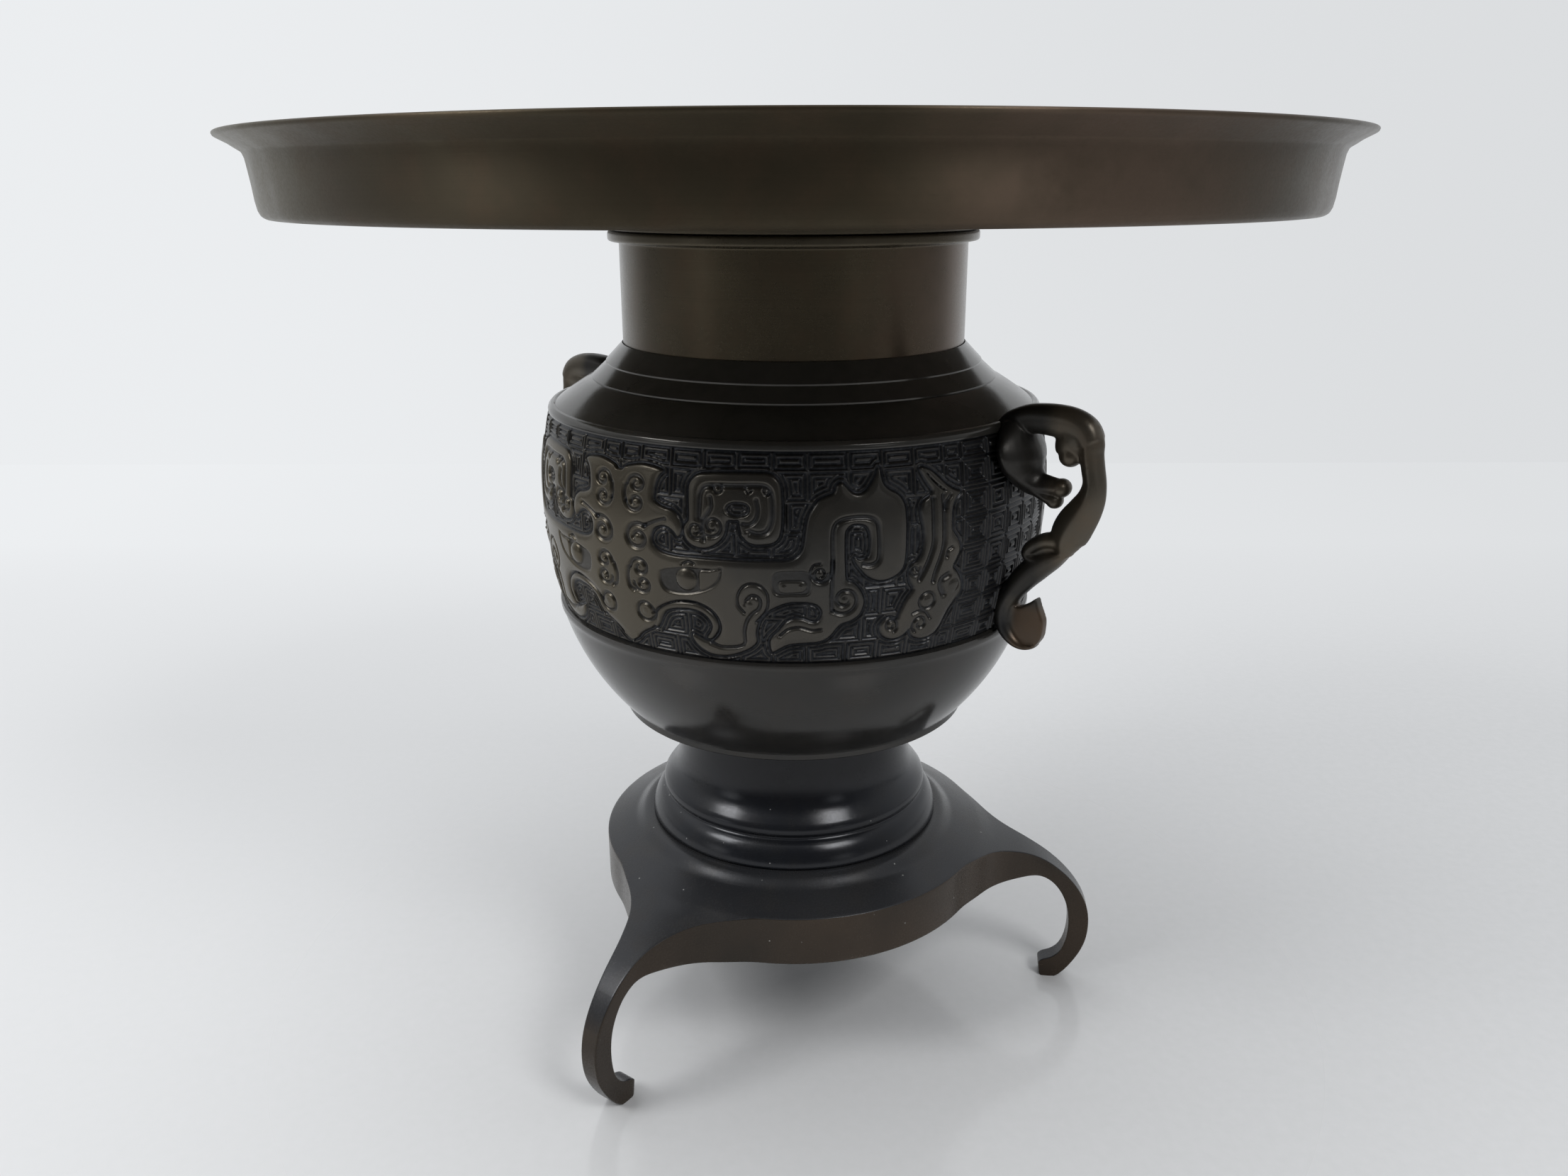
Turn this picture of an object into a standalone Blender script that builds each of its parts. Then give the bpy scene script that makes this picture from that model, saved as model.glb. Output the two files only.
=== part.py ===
# Usubata flower vase in patinated cast bronze: a wide dish on a turned neck, an urn body with a cast
# relief band and two scroll handles, a turned pedestal and a stand on three curled legs.
# Metres, +Z up. The feet stand on z = 0 and the vase's axis is the Z axis. The front is towards -Y.

import bpy
import bmesh
import math
from mathutils import Matrix, Vector

MM = 0.001

# Facets round the turned pieces
DISH_SIDES = 36
BODY_SIDES = 32
SLIM_SIDES = 28

# Clearance left where one casting sits on or beside another
SEAT_GAP = 0.3 * MM

# Stand
LEG_COUNT = 3
FIRST_LEG_DEG = -6.0
STAND_H = 62.0 * MM
PLATE_R = 62.0 * MM
PLATE_EDGE_H = 15.2 * MM
PLATE_EDGE_DROP = 6.8 * MM
PLATE_SKIRT = 6.5 * MM
PLATE_WALL = 4.5 * MM
LEG_REACH = 100.0 * MM
LEG_THICK = 6.5 * MM
LEG_HALF_W = 2.9 * MM
FOOT_FLAT = 4.6 * MM

# Pedestal
PEDESTAL_H = 39.7 * MM
PEDESTAL_FOOT_R = 47.6 * MM
PEDESTAL_NECK_R = 37.1 * MM
PEDESTAL_STEP_R = 42.4 * MM
PEDESTAL_WALL = 3.2 * MM

# Urn body
RING_R = 54.2 * MM
RING_H = 2.1 * MM
BOWL_H = 36.8 * MM
BOWL_TOP_R = 72.5 * MM
BAND_H = 56.9 * MM
BAND_LOW_R = 71.8 * MM
BELLY_R = 75.6 * MM
BAND_TOP_R = 72.9 * MM
BELLY_SHARE = 0.6
LIP_R = 73.3 * MM
LIP_H = 2.3 * MM
SHOULDER_H = 16.5 * MM
SHOULDER_FOOT_R = 71.2 * MM
BODY_WALL = 3.2 * MM
RELIEF_H = 0.9 * MM
RELIEF_ROOT = 1.2 * MM
LEDGE_DEPTH = 6.3 * MM
LEDGE_W = 3.6 * MM

# Neck
NECK_R = 50.5 * MM
NECK_WALL = 3.0 * MM
NECK_H = 28.6 * MM
COLLAR_R = 53.7 * MM
COLLAR_H = 2.9 * MM

# Dish
RIM_R = 151.5 * MM
RIM_FLARE = 6.0 * MM
RIM_RISE = 4.3 * MM
DISH_H = 20.1 * MM
DISH_FOOT_R = 54.0 * MM
DISH_FOOT_H = 4.4 * MM
DISH_TAPER = 3.2 * MM
DISH_WALL = 2.6 * MM
DISH_FLOOR = 3.0 * MM
SPIGOT_LENGTH = 9.0 * MM
SPIGOT_WALL = 3.0 * MM
SPIGOT_CLEARANCE = 0.5 * MM

# Relief: where the mask on the front is centred, and the handles a quarter turn from it
MASK_DEG = -127.0
HANDLE_DEG = MASK_DEG + 90.0

# Heights, worked out from the pieces below each
PEDESTAL_Z = STAND_H + SEAT_GAP
BODY_Z = PEDESTAL_Z + PEDESTAL_H + SEAT_GAP
BAND_Z = BODY_Z + BOWL_H
BAND_TOP_Z = BAND_Z + BAND_H
LIP_TOP_Z = BAND_TOP_Z + LIP_H
MOUTH_Z = LIP_TOP_Z + SHOULDER_H
LEDGE_Z = MOUTH_Z - LEDGE_DEPTH
COLLAR_Z = MOUTH_Z + NECK_H
COLLAR_TOP_Z = COLLAR_Z + COLLAR_H
DISH_FOOT_Z = COLLAR_TOP_Z + SEAT_GAP
DISH_Z = DISH_FOOT_Z + DISH_FOOT_H
RIM_Z = DISH_Z + DISH_H


def clear_scene():
    for thing in list(bpy.data.objects):
        bpy.data.objects.remove(thing, do_unlink=True)
    for group in list(bpy.data.collections):
        bpy.data.collections.remove(group)


def new_collection(name):
    group = bpy.data.collections.new(name)
    bpy.context.scene.collection.children.link(group)
    return group


def bronze(name, colour, roughness):
    """One patinated bronze finish."""
    material = bpy.data.materials.new(name)
    material.use_nodes = True
    shader = material.node_tree.nodes["Principled BSDF"]
    shader.inputs["Base Color"].default_value = (*colour, 1.0)
    shader.inputs["Roughness"].default_value = roughness
    shader.inputs["Metallic"].default_value = 0.85
    return material


def add_object(name, mesh, group, material=None):
    thing = bpy.data.objects.new(name, mesh)
    group.objects.link(thing)
    if material:
        mesh.materials.append(material)
    return thing


def as_guide(thing):
    """A cutter or a relief figure, which is only used by another object's Boolean."""
    thing.hide_render = True
    thing.display_type = "WIRE"
    return thing


def boolean(thing, operation, operand):
    step = thing.modifiers.new(operation.lower() + " " + operand.name, "BOOLEAN")
    step.operation = operation
    step.solver = "EXACT"
    if isinstance(operand, bpy.types.Collection):
        step.operand_type = "COLLECTION"
        step.collection = operand
    else:
        step.object = operand


def turned(name, outline, sides, group, material=None):
    """A profile of (radius, height) turned round Z, running down the outside and up the inside."""
    mesh = bpy.data.meshes.new(name)
    verts = [(r, 0.0, z) for r, z in outline]
    edges = []
    for i in range(len(verts)):
        j = (i + 1) % len(verts)
        if verts[i][0] > 0.0 or verts[j][0] > 0.0:
            edges.append((i, j))
    mesh.from_pydata(verts, edges, [])
    thing = add_object(name, mesh, group, material)
    screw = thing.modifiers.new("turn", "SCREW")
    screw.axis = "Z"
    screw.angle = math.tau
    screw.steps = sides
    screw.render_steps = sides
    screw.use_merge_vertices = True
    screw.merge_threshold = 0.00001
    screw.use_smooth_shade = True
    weld = thing.modifiers.new("close the axis", "WELD")
    weld.merge_threshold = 0.00001
    return thing


def arc_between(start, end, bulge, count):
    """Points from start to end on a round bulge, pushed to the right of the way from start to end."""
    a, b = Vector(start), Vector(end)
    side = Vector((b.y - a.y, a.x - b.x)).normalized() * (bulge * (b - a).length)
    points = []
    for i in range(1, count + 1):
        t = i / (count + 1)
        points.append(tuple(a.lerp(b, t) + side * (4.0 * t * (1.0 - t))))
    return points


def loft(name, rings, group, material=None):
    """A closed solid through rings of the same number of points, with flat ends."""
    bm = bmesh.new()
    rows = [[bm.verts.new(p) for p in ring] for ring in rings]
    size = len(rings[0])
    for low, high in zip(rows, rows[1:]):
        for i in range(size):
            j = (i + 1) % size
            bm.faces.new((low[i], low[j], high[j], high[i]))
    bm.faces.new(list(reversed(rows[0])))
    bm.faces.new(rows[-1])
    bmesh.ops.recalc_face_normals(bm, faces=bm.faces)
    mesh = bpy.data.meshes.new(name)
    bm.to_mesh(mesh)
    bm.free()
    return add_object(name, mesh, group, material)


def smooth_line(points, steps):
    """A smooth line through the given points (Catmull-Rom), of any number of values a point."""
    ends = [points[0]] + list(points) + [points[-1]]
    line = []
    for a, b, c, d in zip(ends, ends[1:], ends[2:], ends[3:]):
        for i in range(steps):
            t = i / steps
            line.append(tuple(
                0.5 * (2 * q + (r - p) * t + (2 * p - 5 * q + 4 * r - s) * t * t
                       + (3 * q - p - 3 * r + s) * t ** 3)
                for p, q, r, s in zip(a, b, c, d)))
    line.append(tuple(points[-1]))
    return line


def shade(thing, degrees=40.0):
    thing.data.shade_smooth()
    thing.data.set_sharp_from_angle(angle=math.radians(degrees))


# Stand

def stand_top(radius):
    """Height of the stand's upper face: a dome under the pedestal that runs on into the legs."""
    seat = PEDESTAL_FOOT_R + SEAT_GAP
    edge_z = STAND_H - PLATE_EDGE_DROP
    if radius <= seat:
        return STAND_H
    if radius <= PLATE_R:
        share = (radius - seat) / (PLATE_R - seat)
        return STAND_H - PLATE_EDGE_DROP * (0.75 * share + 0.25 * share * share)
    beyond = (radius - PLATE_R) / (LEG_REACH - PLATE_R)
    return edge_z - PLATE_EDGE_DROP * (1.65 * beyond - 0.95 * beyond * beyond)


def build_stand(group, guides, material):
    edge_z = STAND_H - PLATE_EDGE_DROP
    base_z = edge_z - PLATE_EDGE_H
    seat = PEDESTAL_FOOT_R + SEAT_GAP
    rings = [seat + (PLATE_R - seat) * share for share in (0.0, 0.33, 0.67, 1.0)]
    outline = [(0.0, STAND_H)]
    outline += [(r, stand_top(r)) for r in rings]
    outline += [(PLATE_R, base_z), (PLATE_R - PLATE_SKIRT, base_z)]
    recess_r = PLATE_R - PLATE_SKIRT
    outline += [(recess_r - 1.5 * MM, stand_top(recess_r) - PLATE_WALL), (0.0, STAND_H - PLATE_WALL)]
    plate = turned("tripod_stand", outline, SLIM_SIDES, group, material)

    for i in range(LEG_COUNT):
        turn = Matrix.Rotation(math.radians(FIRST_LEG_DEG + i * 360.0 / LEG_COUNT), 4, "Z")
        rings = [[turn @ p for p in ring] for ring in leg_sections(base_z)]
        leg = as_guide(loft("leg_%d" % i, rings, guides))
        boolean(plate, "UNION", leg)
    return plate


def leg_sections(base_z):
    """Six-sided sections of one leg along +X, from inside the plate's edge to the curled toe."""
    sink = 0.15 * MM
    reach = LEG_REACH - PLATE_R
    # Root: distance beyond the plate's edge and half width, both as shares of the leg's reach
    root = [(-0.17, 0.68), (-0.10, 0.655), (-0.04, 0.57), (0.04, 0.47), (0.13, 0.37), (0.26, 0.265)]
    sections = []
    for out, half in root:
        x, w = PLATE_R + out * reach, half * reach
        rim_z = stand_top(math.hypot(x, w)) - sink
        mid_z = stand_top(x) - sink
        low_z = base_z + sink
        sections.append([Vector((x, -w, low_z)), Vector((x, 0.0, low_z)), Vector((x, w, low_z)),
                         Vector((x, w, rim_z)), Vector((x, 0.0, mid_z)), Vector((x, -w, rim_z))])
    # Curl: the outer line as shares of the reach and of the plate's underside height,
    # with the leg's thickness and half width there as multiples of those at the foot
    curl = [(0.42, 1.22, 1.16, 2.35), (0.57, 1.165, 1.02, 1.78), (0.70, 1.08, 1.0, 1.42),
            (0.825, 0.96, 1.0, 1.2), (0.935, 0.80, 1.0, 1.06), (0.99, 0.63, 1.0, 1.0),
            (1.0, 0.48, 1.0, 1.0), (0.985, 0.34, 1.0, 1.0), (0.94, 0.215, 1.0, 1.0),
            (0.865, 0.10, 1.0, 1.0)]
    line = [(PLATE_R + a * reach, b * base_z, t * LEG_THICK, w * LEG_HALF_W) for a, b, t, w in curl]
    for i, (x, z, thick, w) in enumerate(line):
        before, after = line[max(i - 1, 0)], line[min(i + 1, len(line) - 1)]
        along = Vector((after[0] - before[0], after[1] - before[1])).normalized()
        inside = Vector((along.y, -along.x)) * thick
        sections.append(leg_ring(x, z, x + inside.x, z + inside.y, w))
    # Foot: a flat under the toe, then the blunt tip turned in under the plate
    heel = line[-1][0] - 3.9 * MM
    toe = heel - FOOT_FLAT
    sections.append(leg_ring(heel, 0.0, heel - 0.6 * MM, LEG_THICK * 1.12, LEG_HALF_W))
    sections.append(leg_ring(toe, 0.0, toe - 0.3 * MM, LEG_THICK * 1.05, LEG_HALF_W))
    sections.append(leg_ring(toe - 1.9 * MM, LEG_THICK * 0.25, toe - 1.9 * MM, LEG_THICK * 0.85,
                             LEG_HALF_W * 0.85))
    return sections


def leg_ring(outer_x, outer_z, inner_x, inner_z, w):
    return [Vector((inner_x, -w, inner_z)), Vector((inner_x, 0.0, inner_z)), Vector((inner_x, w, inner_z)),
            Vector((outer_x, w, outer_z)), Vector((outer_x, 0.0, outer_z)), Vector((outer_x, -w, outer_z))]


# Pedestal

def build_pedestal(group, material):
    top = PEDESTAL_Z + PEDESTAL_H
    # The flare from the neck to the step, then the quarter round down to the seam
    step_z = PEDESTAL_Z + 8.6 * MM
    flare = [(PEDESTAL_NECK_R + share * (PEDESTAL_STEP_R - PEDESTAL_NECK_R), step_z + rise * MM)
             for share, rise in ((0.0, 12.0), (0.12, 7.0), (0.38, 4.0), (0.78, 1.4))]
    low_r = PEDESTAL_STEP_R + 1.2 * MM
    round_top = step_z - 1.2 * MM
    quarter = arc_between((low_r, round_top), (PEDESTAL_FOOT_R, PEDESTAL_Z), -0.09, 2)
    outline = [(PEDESTAL_NECK_R - 0.2 * MM, top)] + flare
    outline += [(PEDESTAL_STEP_R, step_z), (PEDESTAL_STEP_R - 0.3 * MM, round_top + 0.2 * MM)]
    outline += [(low_r, round_top)] + quarter + [(PEDESTAL_FOOT_R, PEDESTAL_Z)]
    # Inside: the same flare one wall thickness in
    foot_in = PEDESTAL_FOOT_R - 1.6 * PEDESTAL_WALL
    neck_in = PEDESTAL_NECK_R - PEDESTAL_WALL
    outline += [(foot_in, PEDESTAL_Z), (foot_in - 2.0 * MM, round_top - PEDESTAL_WALL),
                (neck_in + 0.3 * MM, step_z + 4.5 * MM), (neck_in, top)]
    return turned("pedestal", outline, SLIM_SIDES, group, material)


# Urn body

def band_r(share):
    """Radius of the ground of the relief band, at a share of the band's height."""
    if share > BELLY_SHARE:
        away = (share - BELLY_SHARE) / (1.0 - BELLY_SHARE)
        return BELLY_R - (BELLY_R - BAND_TOP_R) * away * away
    away = (BELLY_SHARE - share) / BELLY_SHARE
    return BELLY_R - (BELLY_R - BAND_LOW_R) * away * away


def body_outside():
    """The urn's outer profile, from the mouth down to the underside."""
    mouth_r = NECK_R + SEAT_GAP
    # Two turned steps break the shoulder's slope
    step_1 = (mouth_r + 0.235 * (SHOULDER_FOOT_R - mouth_r), MOUTH_Z - 0.31 * SHOULDER_H)
    step_2 = (mouth_r + 0.445 * (SHOULDER_FOOT_R - mouth_r), MOUTH_Z - 0.57 * SHOULDER_H)
    outline = [(mouth_r, MOUTH_Z), step_1, (step_1[0] - 0.1 * MM, step_1[1] - 0.5 * MM), step_2]
    outline += [(SHOULDER_FOOT_R, LIP_TOP_Z)]
    outline += [(LIP_R - 0.4 * MM, LIP_TOP_Z - 0.4 * MM), (LIP_R, BAND_TOP_Z)]
    rows = [1.0, 0.8, BELLY_SHARE, 0.3, 0.0]
    outline += [(band_r(share), BAND_Z + share * BAND_H - (0.2 * MM if share == 1.0 else 0.0))
                for share in rows]
    # A small rolled lip under the band, then the bowl
    roll = 2.6 * MM
    outline += [(BOWL_TOP_R + 0.4 * MM, BAND_Z - 0.5 * MM), (BOWL_TOP_R + 0.4 * MM, BAND_Z - roll + 0.3 * MM)]
    bowl_top = (BOWL_TOP_R, BAND_Z - roll)
    bowl_low = (RING_R + 0.2 * MM, BODY_Z + RING_H)
    outline += [bowl_top] + arc_between(bowl_top, bowl_low, -0.062, 3) + [bowl_low]
    outline += [(RING_R, BODY_Z), (0.0, BODY_Z)]
    return outline


def body_inside():
    """The hollow of the urn, from the floor up to the ledge that carries the neck."""
    floor_z = BODY_Z + BODY_WALL
    low = (RING_R - 1.6 * BODY_WALL, floor_z + 0.6 * MM)
    waist = (BAND_LOW_R - BODY_WALL, BAND_Z)
    outline = [(0.0, floor_z), low] + arc_between(low, waist, 0.062, 1) + [waist]
    outline += [(band_r(share) - BODY_WALL, BAND_Z + share * BAND_H) for share in (0.4, 0.8)]
    mouth_r = NECK_R + SEAT_GAP
    bore = mouth_r - LEDGE_W
    outline += [(SHOULDER_FOOT_R - 1.6 * BODY_WALL, LIP_TOP_Z - BODY_WALL)]
    outline += [(bore, LEDGE_Z - 3.0 * MM), (bore, LEDGE_Z), (mouth_r, LEDGE_Z)]
    return outline


def build_body(group, figures, material):
    body = turned("body", body_outside() + body_inside(), BODY_SIDES, group, material)
    for centre in (MASK_DEG, MASK_DEG + 180.0):
        for side in (1.0, -1.0):
            build_half_mask(centre, side, figures)
    boolean(body, "UNION", figures)
    return body


# Relief figures. A place on the band is (degrees from the mask's nose, share of the band's height),
# and widths are shares of the band's height. Each half mask is mirrored in the nose line.

def on_band(centre, side, degrees, share, lift):
    turn = math.radians(centre + side * degrees)
    radius = band_r(min(max(share, 0.0), 1.0)) + lift
    return Vector((radius * math.cos(turn), radius * math.sin(turn), BAND_Z + share * BAND_H))


def girth_degrees(share):
    """A length along the girth, in degrees, from a share of the band's height."""
    return math.degrees(share * BAND_H / BELLY_R)


def raised_strip(name, centre, side, stations, height, group):
    """A band of relief along (degrees, share, half width) stations, with sloping sides."""
    rings = []
    for i, (degrees, share, half) in enumerate(stations):
        a, b = stations[max(i - 1, 0)], stations[min(i + 1, len(stations) - 1)]
        along = Vector((math.radians(b[0] - a[0]) * BELLY_R, (b[1] - a[1]) * BAND_H)).normalized()
        across = Vector((girth_degrees(-along.y * half), along.x * half))
        top = Vector((across.x * 0.8, across.y * 0.8))
        rings.append([
            on_band(centre, side, degrees - across.x * 1.15, share - across.y * 1.15, -RELIEF_ROOT),
            on_band(centre, side, degrees + across.x * 1.15, share + across.y * 1.15, -RELIEF_ROOT),
            on_band(centre, side, degrees + top.x, share + top.y, height),
            on_band(centre, side, degrees - top.x, share - top.y, height)])
    return as_guide(loft(name, rings, group))


def raised_boss(name, centre, side, place, radius, height, group, points=6):
    """A round boss that narrows towards its crown, or an eyeball when it has eight sides."""
    rings = []
    levels = [(1.0, -RELIEF_ROOT), (0.8, height)]
    if points > 6:
        levels = [(1.0, -RELIEF_ROOT), (0.95, 0.5 * height), (0.5, height)]
    for scale, lift in levels:
        ring = []
        for i in range(points):
            turn = math.tau * i / points
            ring.append(on_band(centre, side, place[0] + girth_degrees(radius * scale * math.cos(turn)),
                                place[1] + radius * scale * math.sin(turn), lift))
        rings.append(ring)
    return as_guide(loft(name, rings, group))


def spiral_stations(place, outer, inner, start_deg, turns, half, count):
    """Stations of a spiral that winds in from the outer to the inner radius."""
    stations = []
    for i in range(count):
        t = i / (count - 1)
        radius = outer + (inner - outer) * t
        turn = math.radians(start_deg + 360.0 * turns * t)
        stations.append((place[0] + girth_degrees(radius * math.cos(turn)),
                         place[1] + radius * math.sin(turn), half * (1.0 - 0.3 * t)))
    return stations


HORN = [(20.9, 0.665, 0.028), (18.4, 0.612, 0.034), (16.3, 0.690, 0.030), (17.0, 0.82, 0.030),
        (19.8, 0.886, 0.033), (29.8, 0.890, 0.034), (33.6, 0.830, 0.033), (33.9, 0.70, 0.032),
        (31.6, 0.616, 0.030), (27.6, 0.640, 0.018)]
CHEEK = [(7.0, 0.42, 0.085), (14.0, 0.40, 0.125), (26.0, 0.41, 0.122), (38.6, 0.43, 0.100),
         (42.2, 0.56, 0.066), (44.0, 0.70, 0.057), (47.5, 0.765, 0.056), (53.0, 0.765, 0.057),
         (56.4, 0.68, 0.058), (56.2, 0.52, 0.055), (53.6, 0.45, 0.046), (49.8, 0.475, 0.020)]
FLAME = [(51.5, 0.76, 0.090), (52.6, 0.84, 0.048), (53.6, 0.915, 0.008)]
JAW = [(25.2, 0.32, 0.062), (24.9, 0.20, 0.058), (22.0, 0.11, 0.044), (17.2, 0.15, 0.014)]
MOUTH = [(7.8, 0.215, 0.018), (14.0, 0.275, 0.022), (21.6, 0.19, 0.016)]
FANG = [(43.4, 0.30, 0.050), (42.4, 0.205, 0.064), (36.5, 0.155, 0.056), (32.8, 0.085, 0.012)]
DRAGON_CREST = [(63.2, 0.905, 0.010), (66.6, 0.860, 0.036), (71.0, 0.790, 0.010)]
DRAGON = [(65.4, 0.83, 0.030), (66.6, 0.68, 0.037), (64.6, 0.48, 0.037), (60.8, 0.30, 0.046),
          (61.0, 0.18, 0.048), (67.2, 0.18, 0.022)]
BROW = [(7.4, 0.67, 0.050), (13.6, 0.66, 0.020)]
NOSE_HALF = [(0.0, 0.055), (3.2, 0.075), (5.4, 0.17), (6.6, 0.30), (8.0, 0.44), (7.6, 0.60),
             (9.2, 0.74), (8.6, 0.85), (10.6, 0.895), (5.6, 0.92), (0.0, 0.86)]


def build_half_mask(centre, side, group):
    tag = "%d_%s" % (round(centre), "r" if side > 0 else "l")
    strips = (("horn", HORN, 1.1), ("cheek", CHEEK, 1.0), ("flame", FLAME, 0.9), ("jaw", JAW, 0.94),
              ("mouth", MOUTH, 0.8), ("fang", FANG, 1.06), ("dragon_crest", DRAGON_CREST, 0.9),
              ("dragon", DRAGON, 1.0), ("brow", BROW, 0.92))
    for name, stations, height in strips:
        raised_strip(name + tag, centre, side, stations, height * RELIEF_H, group)
    coil = spiral_stations((46.9, 0.335), 0.090, 0.030, -120.0, 1.1, 0.025, 7)
    raised_strip("coil" + tag, centre, side, coil, 1.12 * RELIEF_H, group)
    bosses = (((17.6, 0.672), 0.046, 1.3), ((21.6, 0.690), 0.052, 1.25), ((15.7, 0.405), 0.062, 2.1),
              ((56.9, 0.165), 0.046, 0.9), ((69.8, 0.335), 0.055, 1.2))
    for i, (place, radius, height) in enumerate(bosses):
        points = 8 if height > 2.0 else 6
        raised_boss("boss_%d" % i + tag, centre, side, place, radius, height * RELIEF_H, group, points)
    if side > 0:
        build_nose(centre, group)


def build_nose(centre, group):
    """The nose ridge with its wings and crown, one plate across the nose line."""
    outline = NOSE_HALF + [(-d, s) for d, s in reversed(NOSE_HALF[1:-1])]
    rings = []
    for lift in (-RELIEF_ROOT, 1.16 * RELIEF_H):
        rings.append([on_band(centre, 1.0, d, s, lift) for d, s in outline])
    bm = bmesh.new()
    low, high = ([bm.verts.new(p) for p in ring] for ring in rings)
    for i in range(len(outline)):
        j = (i + 1) % len(outline)
        bm.faces.new((low[i], low[j], high[j], high[i]))
    spine = [on_band(centre, 1.0, 0.0, s, 1.3 * RELIEF_H) for s in (0.2, 0.45, 0.7)]
    deep = [on_band(centre, 1.0, 0.0, s, -RELIEF_ROOT * 1.3) for s in (0.2, 0.45, 0.7)]
    for edge, points in ((high, spine), (low, deep)):
        ridge = [bm.verts.new(p) for p in points]
        chain = [edge[0]] + ridge + [edge[len(NOSE_HALF) - 1]]
        close_half(bm, edge[:len(NOSE_HALF)], chain)
        other = [edge[0]] + list(reversed(edge[len(NOSE_HALF) - 1:]))
        close_half(bm, other, chain)
    bmesh.ops.recalc_face_normals(bm, faces=bm.faces)
    mesh = bpy.data.meshes.new("nose_%d" % round(centre))
    bm.to_mesh(mesh)
    bm.free()
    return as_guide(add_object(mesh.name, mesh, group))


def close_half(bm, rim, chain):
    """Triangles between a rim and the ridge line that starts and ends on it."""
    i, j = 0, 0
    while i < len(rim) - 1 or j < len(chain) - 1:
        next_rim = rim[i + 1].co.z if i < len(rim) - 1 else math.inf
        next_chain = chain[j + 1].co.z if j < len(chain) - 1 else math.inf
        if next_rim <= next_chain:
            corners = [rim[i], rim[i + 1], chain[j]]
            i += 1
        else:
            corners = [rim[i], chain[j + 1], chain[j]]
            j += 1
        if len(set(corners)) == 3:
            bm.faces.new(corners)


# Neck and dish

def build_neck(group, material):
    bore = NECK_R - NECK_WALL
    low = LEDGE_Z + SEAT_GAP
    outline = [(COLLAR_R - 0.5 * MM, COLLAR_TOP_Z), (COLLAR_R, COLLAR_TOP_Z - 0.5 * MM),
               (COLLAR_R, COLLAR_Z + 0.5 * MM), (COLLAR_R - 0.5 * MM, COLLAR_Z), (NECK_R, COLLAR_Z - 0.4 * MM)]
    outline += [(NECK_R, low), (bore, low), (bore, COLLAR_TOP_Z)]
    return turned("neck", outline, SLIM_SIDES, group, material)


def build_dish(group, material):
    spigot_r = NECK_R - NECK_WALL - SPIGOT_CLEARANCE
    opening = spigot_r - SPIGOT_WALL
    wall_top = (RIM_R - RIM_FLARE, RIM_Z - RIM_RISE)
    wall_low = RIM_R - RIM_FLARE - 0.5 * DISH_TAPER
    outline = [(RIM_R, RIM_Z), (RIM_R - 0.2 * MM, RIM_Z - 1.1 * MM), wall_top]
    outline += [(wall_low, DISH_Z + 1.6 * MM)]
    outline += [(wall_low - 1.8 * MM, DISH_Z), (DISH_FOOT_R, DISH_Z), (DISH_FOOT_R, DISH_FOOT_Z)]
    outline += [(spigot_r, DISH_FOOT_Z), (spigot_r, DISH_FOOT_Z - SPIGOT_LENGTH)]
    outline += [(opening, DISH_FOOT_Z - SPIGOT_LENGTH), (opening, DISH_Z + DISH_FLOOR)]
    outline += [(wall_low - DISH_WALL - 1.5 * MM, DISH_Z + DISH_FLOOR)]
    outline += [(wall_low - DISH_WALL, DISH_Z + DISH_FLOOR + 1.5 * MM)]
    outline += [(wall_top[0] - DISH_WALL, wall_top[1] - 0.3 * MM), (RIM_R - 1.2 * MM, RIM_Z + 0.1 * MM)]
    return turned("dish", outline, DISH_SIDES, group, material)


# Handles. A handle lies in an upright plane through the axis: a point of it is (distance out from the
# belly's surface, height above the band's foot), as shares of the band's height, with a radius.

ARCH = [(-0.05, 1.01, 0.064), (0.03, 1.060, 0.073), (0.13, 1.068, 0.076), (0.25, 1.055, 0.075),
        (0.335, 0.995, 0.069), (0.364, 0.90, 0.062), (0.379, 0.78, 0.060), (0.360, 0.675, 0.062),
        (0.315, 0.58, 0.064), (0.225, 0.445, 0.060), (0.125, 0.335, 0.057), (0.05, 0.225, 0.056),
        (-0.005, 0.11, 0.058), (0.015, 0.02, 0.062), (0.085, -0.02, 0.066), (0.14, 0.03, 0.064),
        (0.147, 0.11, 0.048), (0.140, 0.175, 0.016)]
HEAD = [(-0.03, 0.985, 0.056), (0.0, 0.90, 0.058), (0.07, 0.815, 0.056), (0.15, 0.75, 0.050),
        (0.21, 0.715, 0.046)]
NUB = [(0.35, 0.92, 0.052), (0.29, 0.905, 0.046), (0.245, 0.90, 0.034)]
CURL = [(0.24, 0.475, 0.060), (0.15, 0.455, 0.056), (0.085, 0.42, 0.044)]


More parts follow.
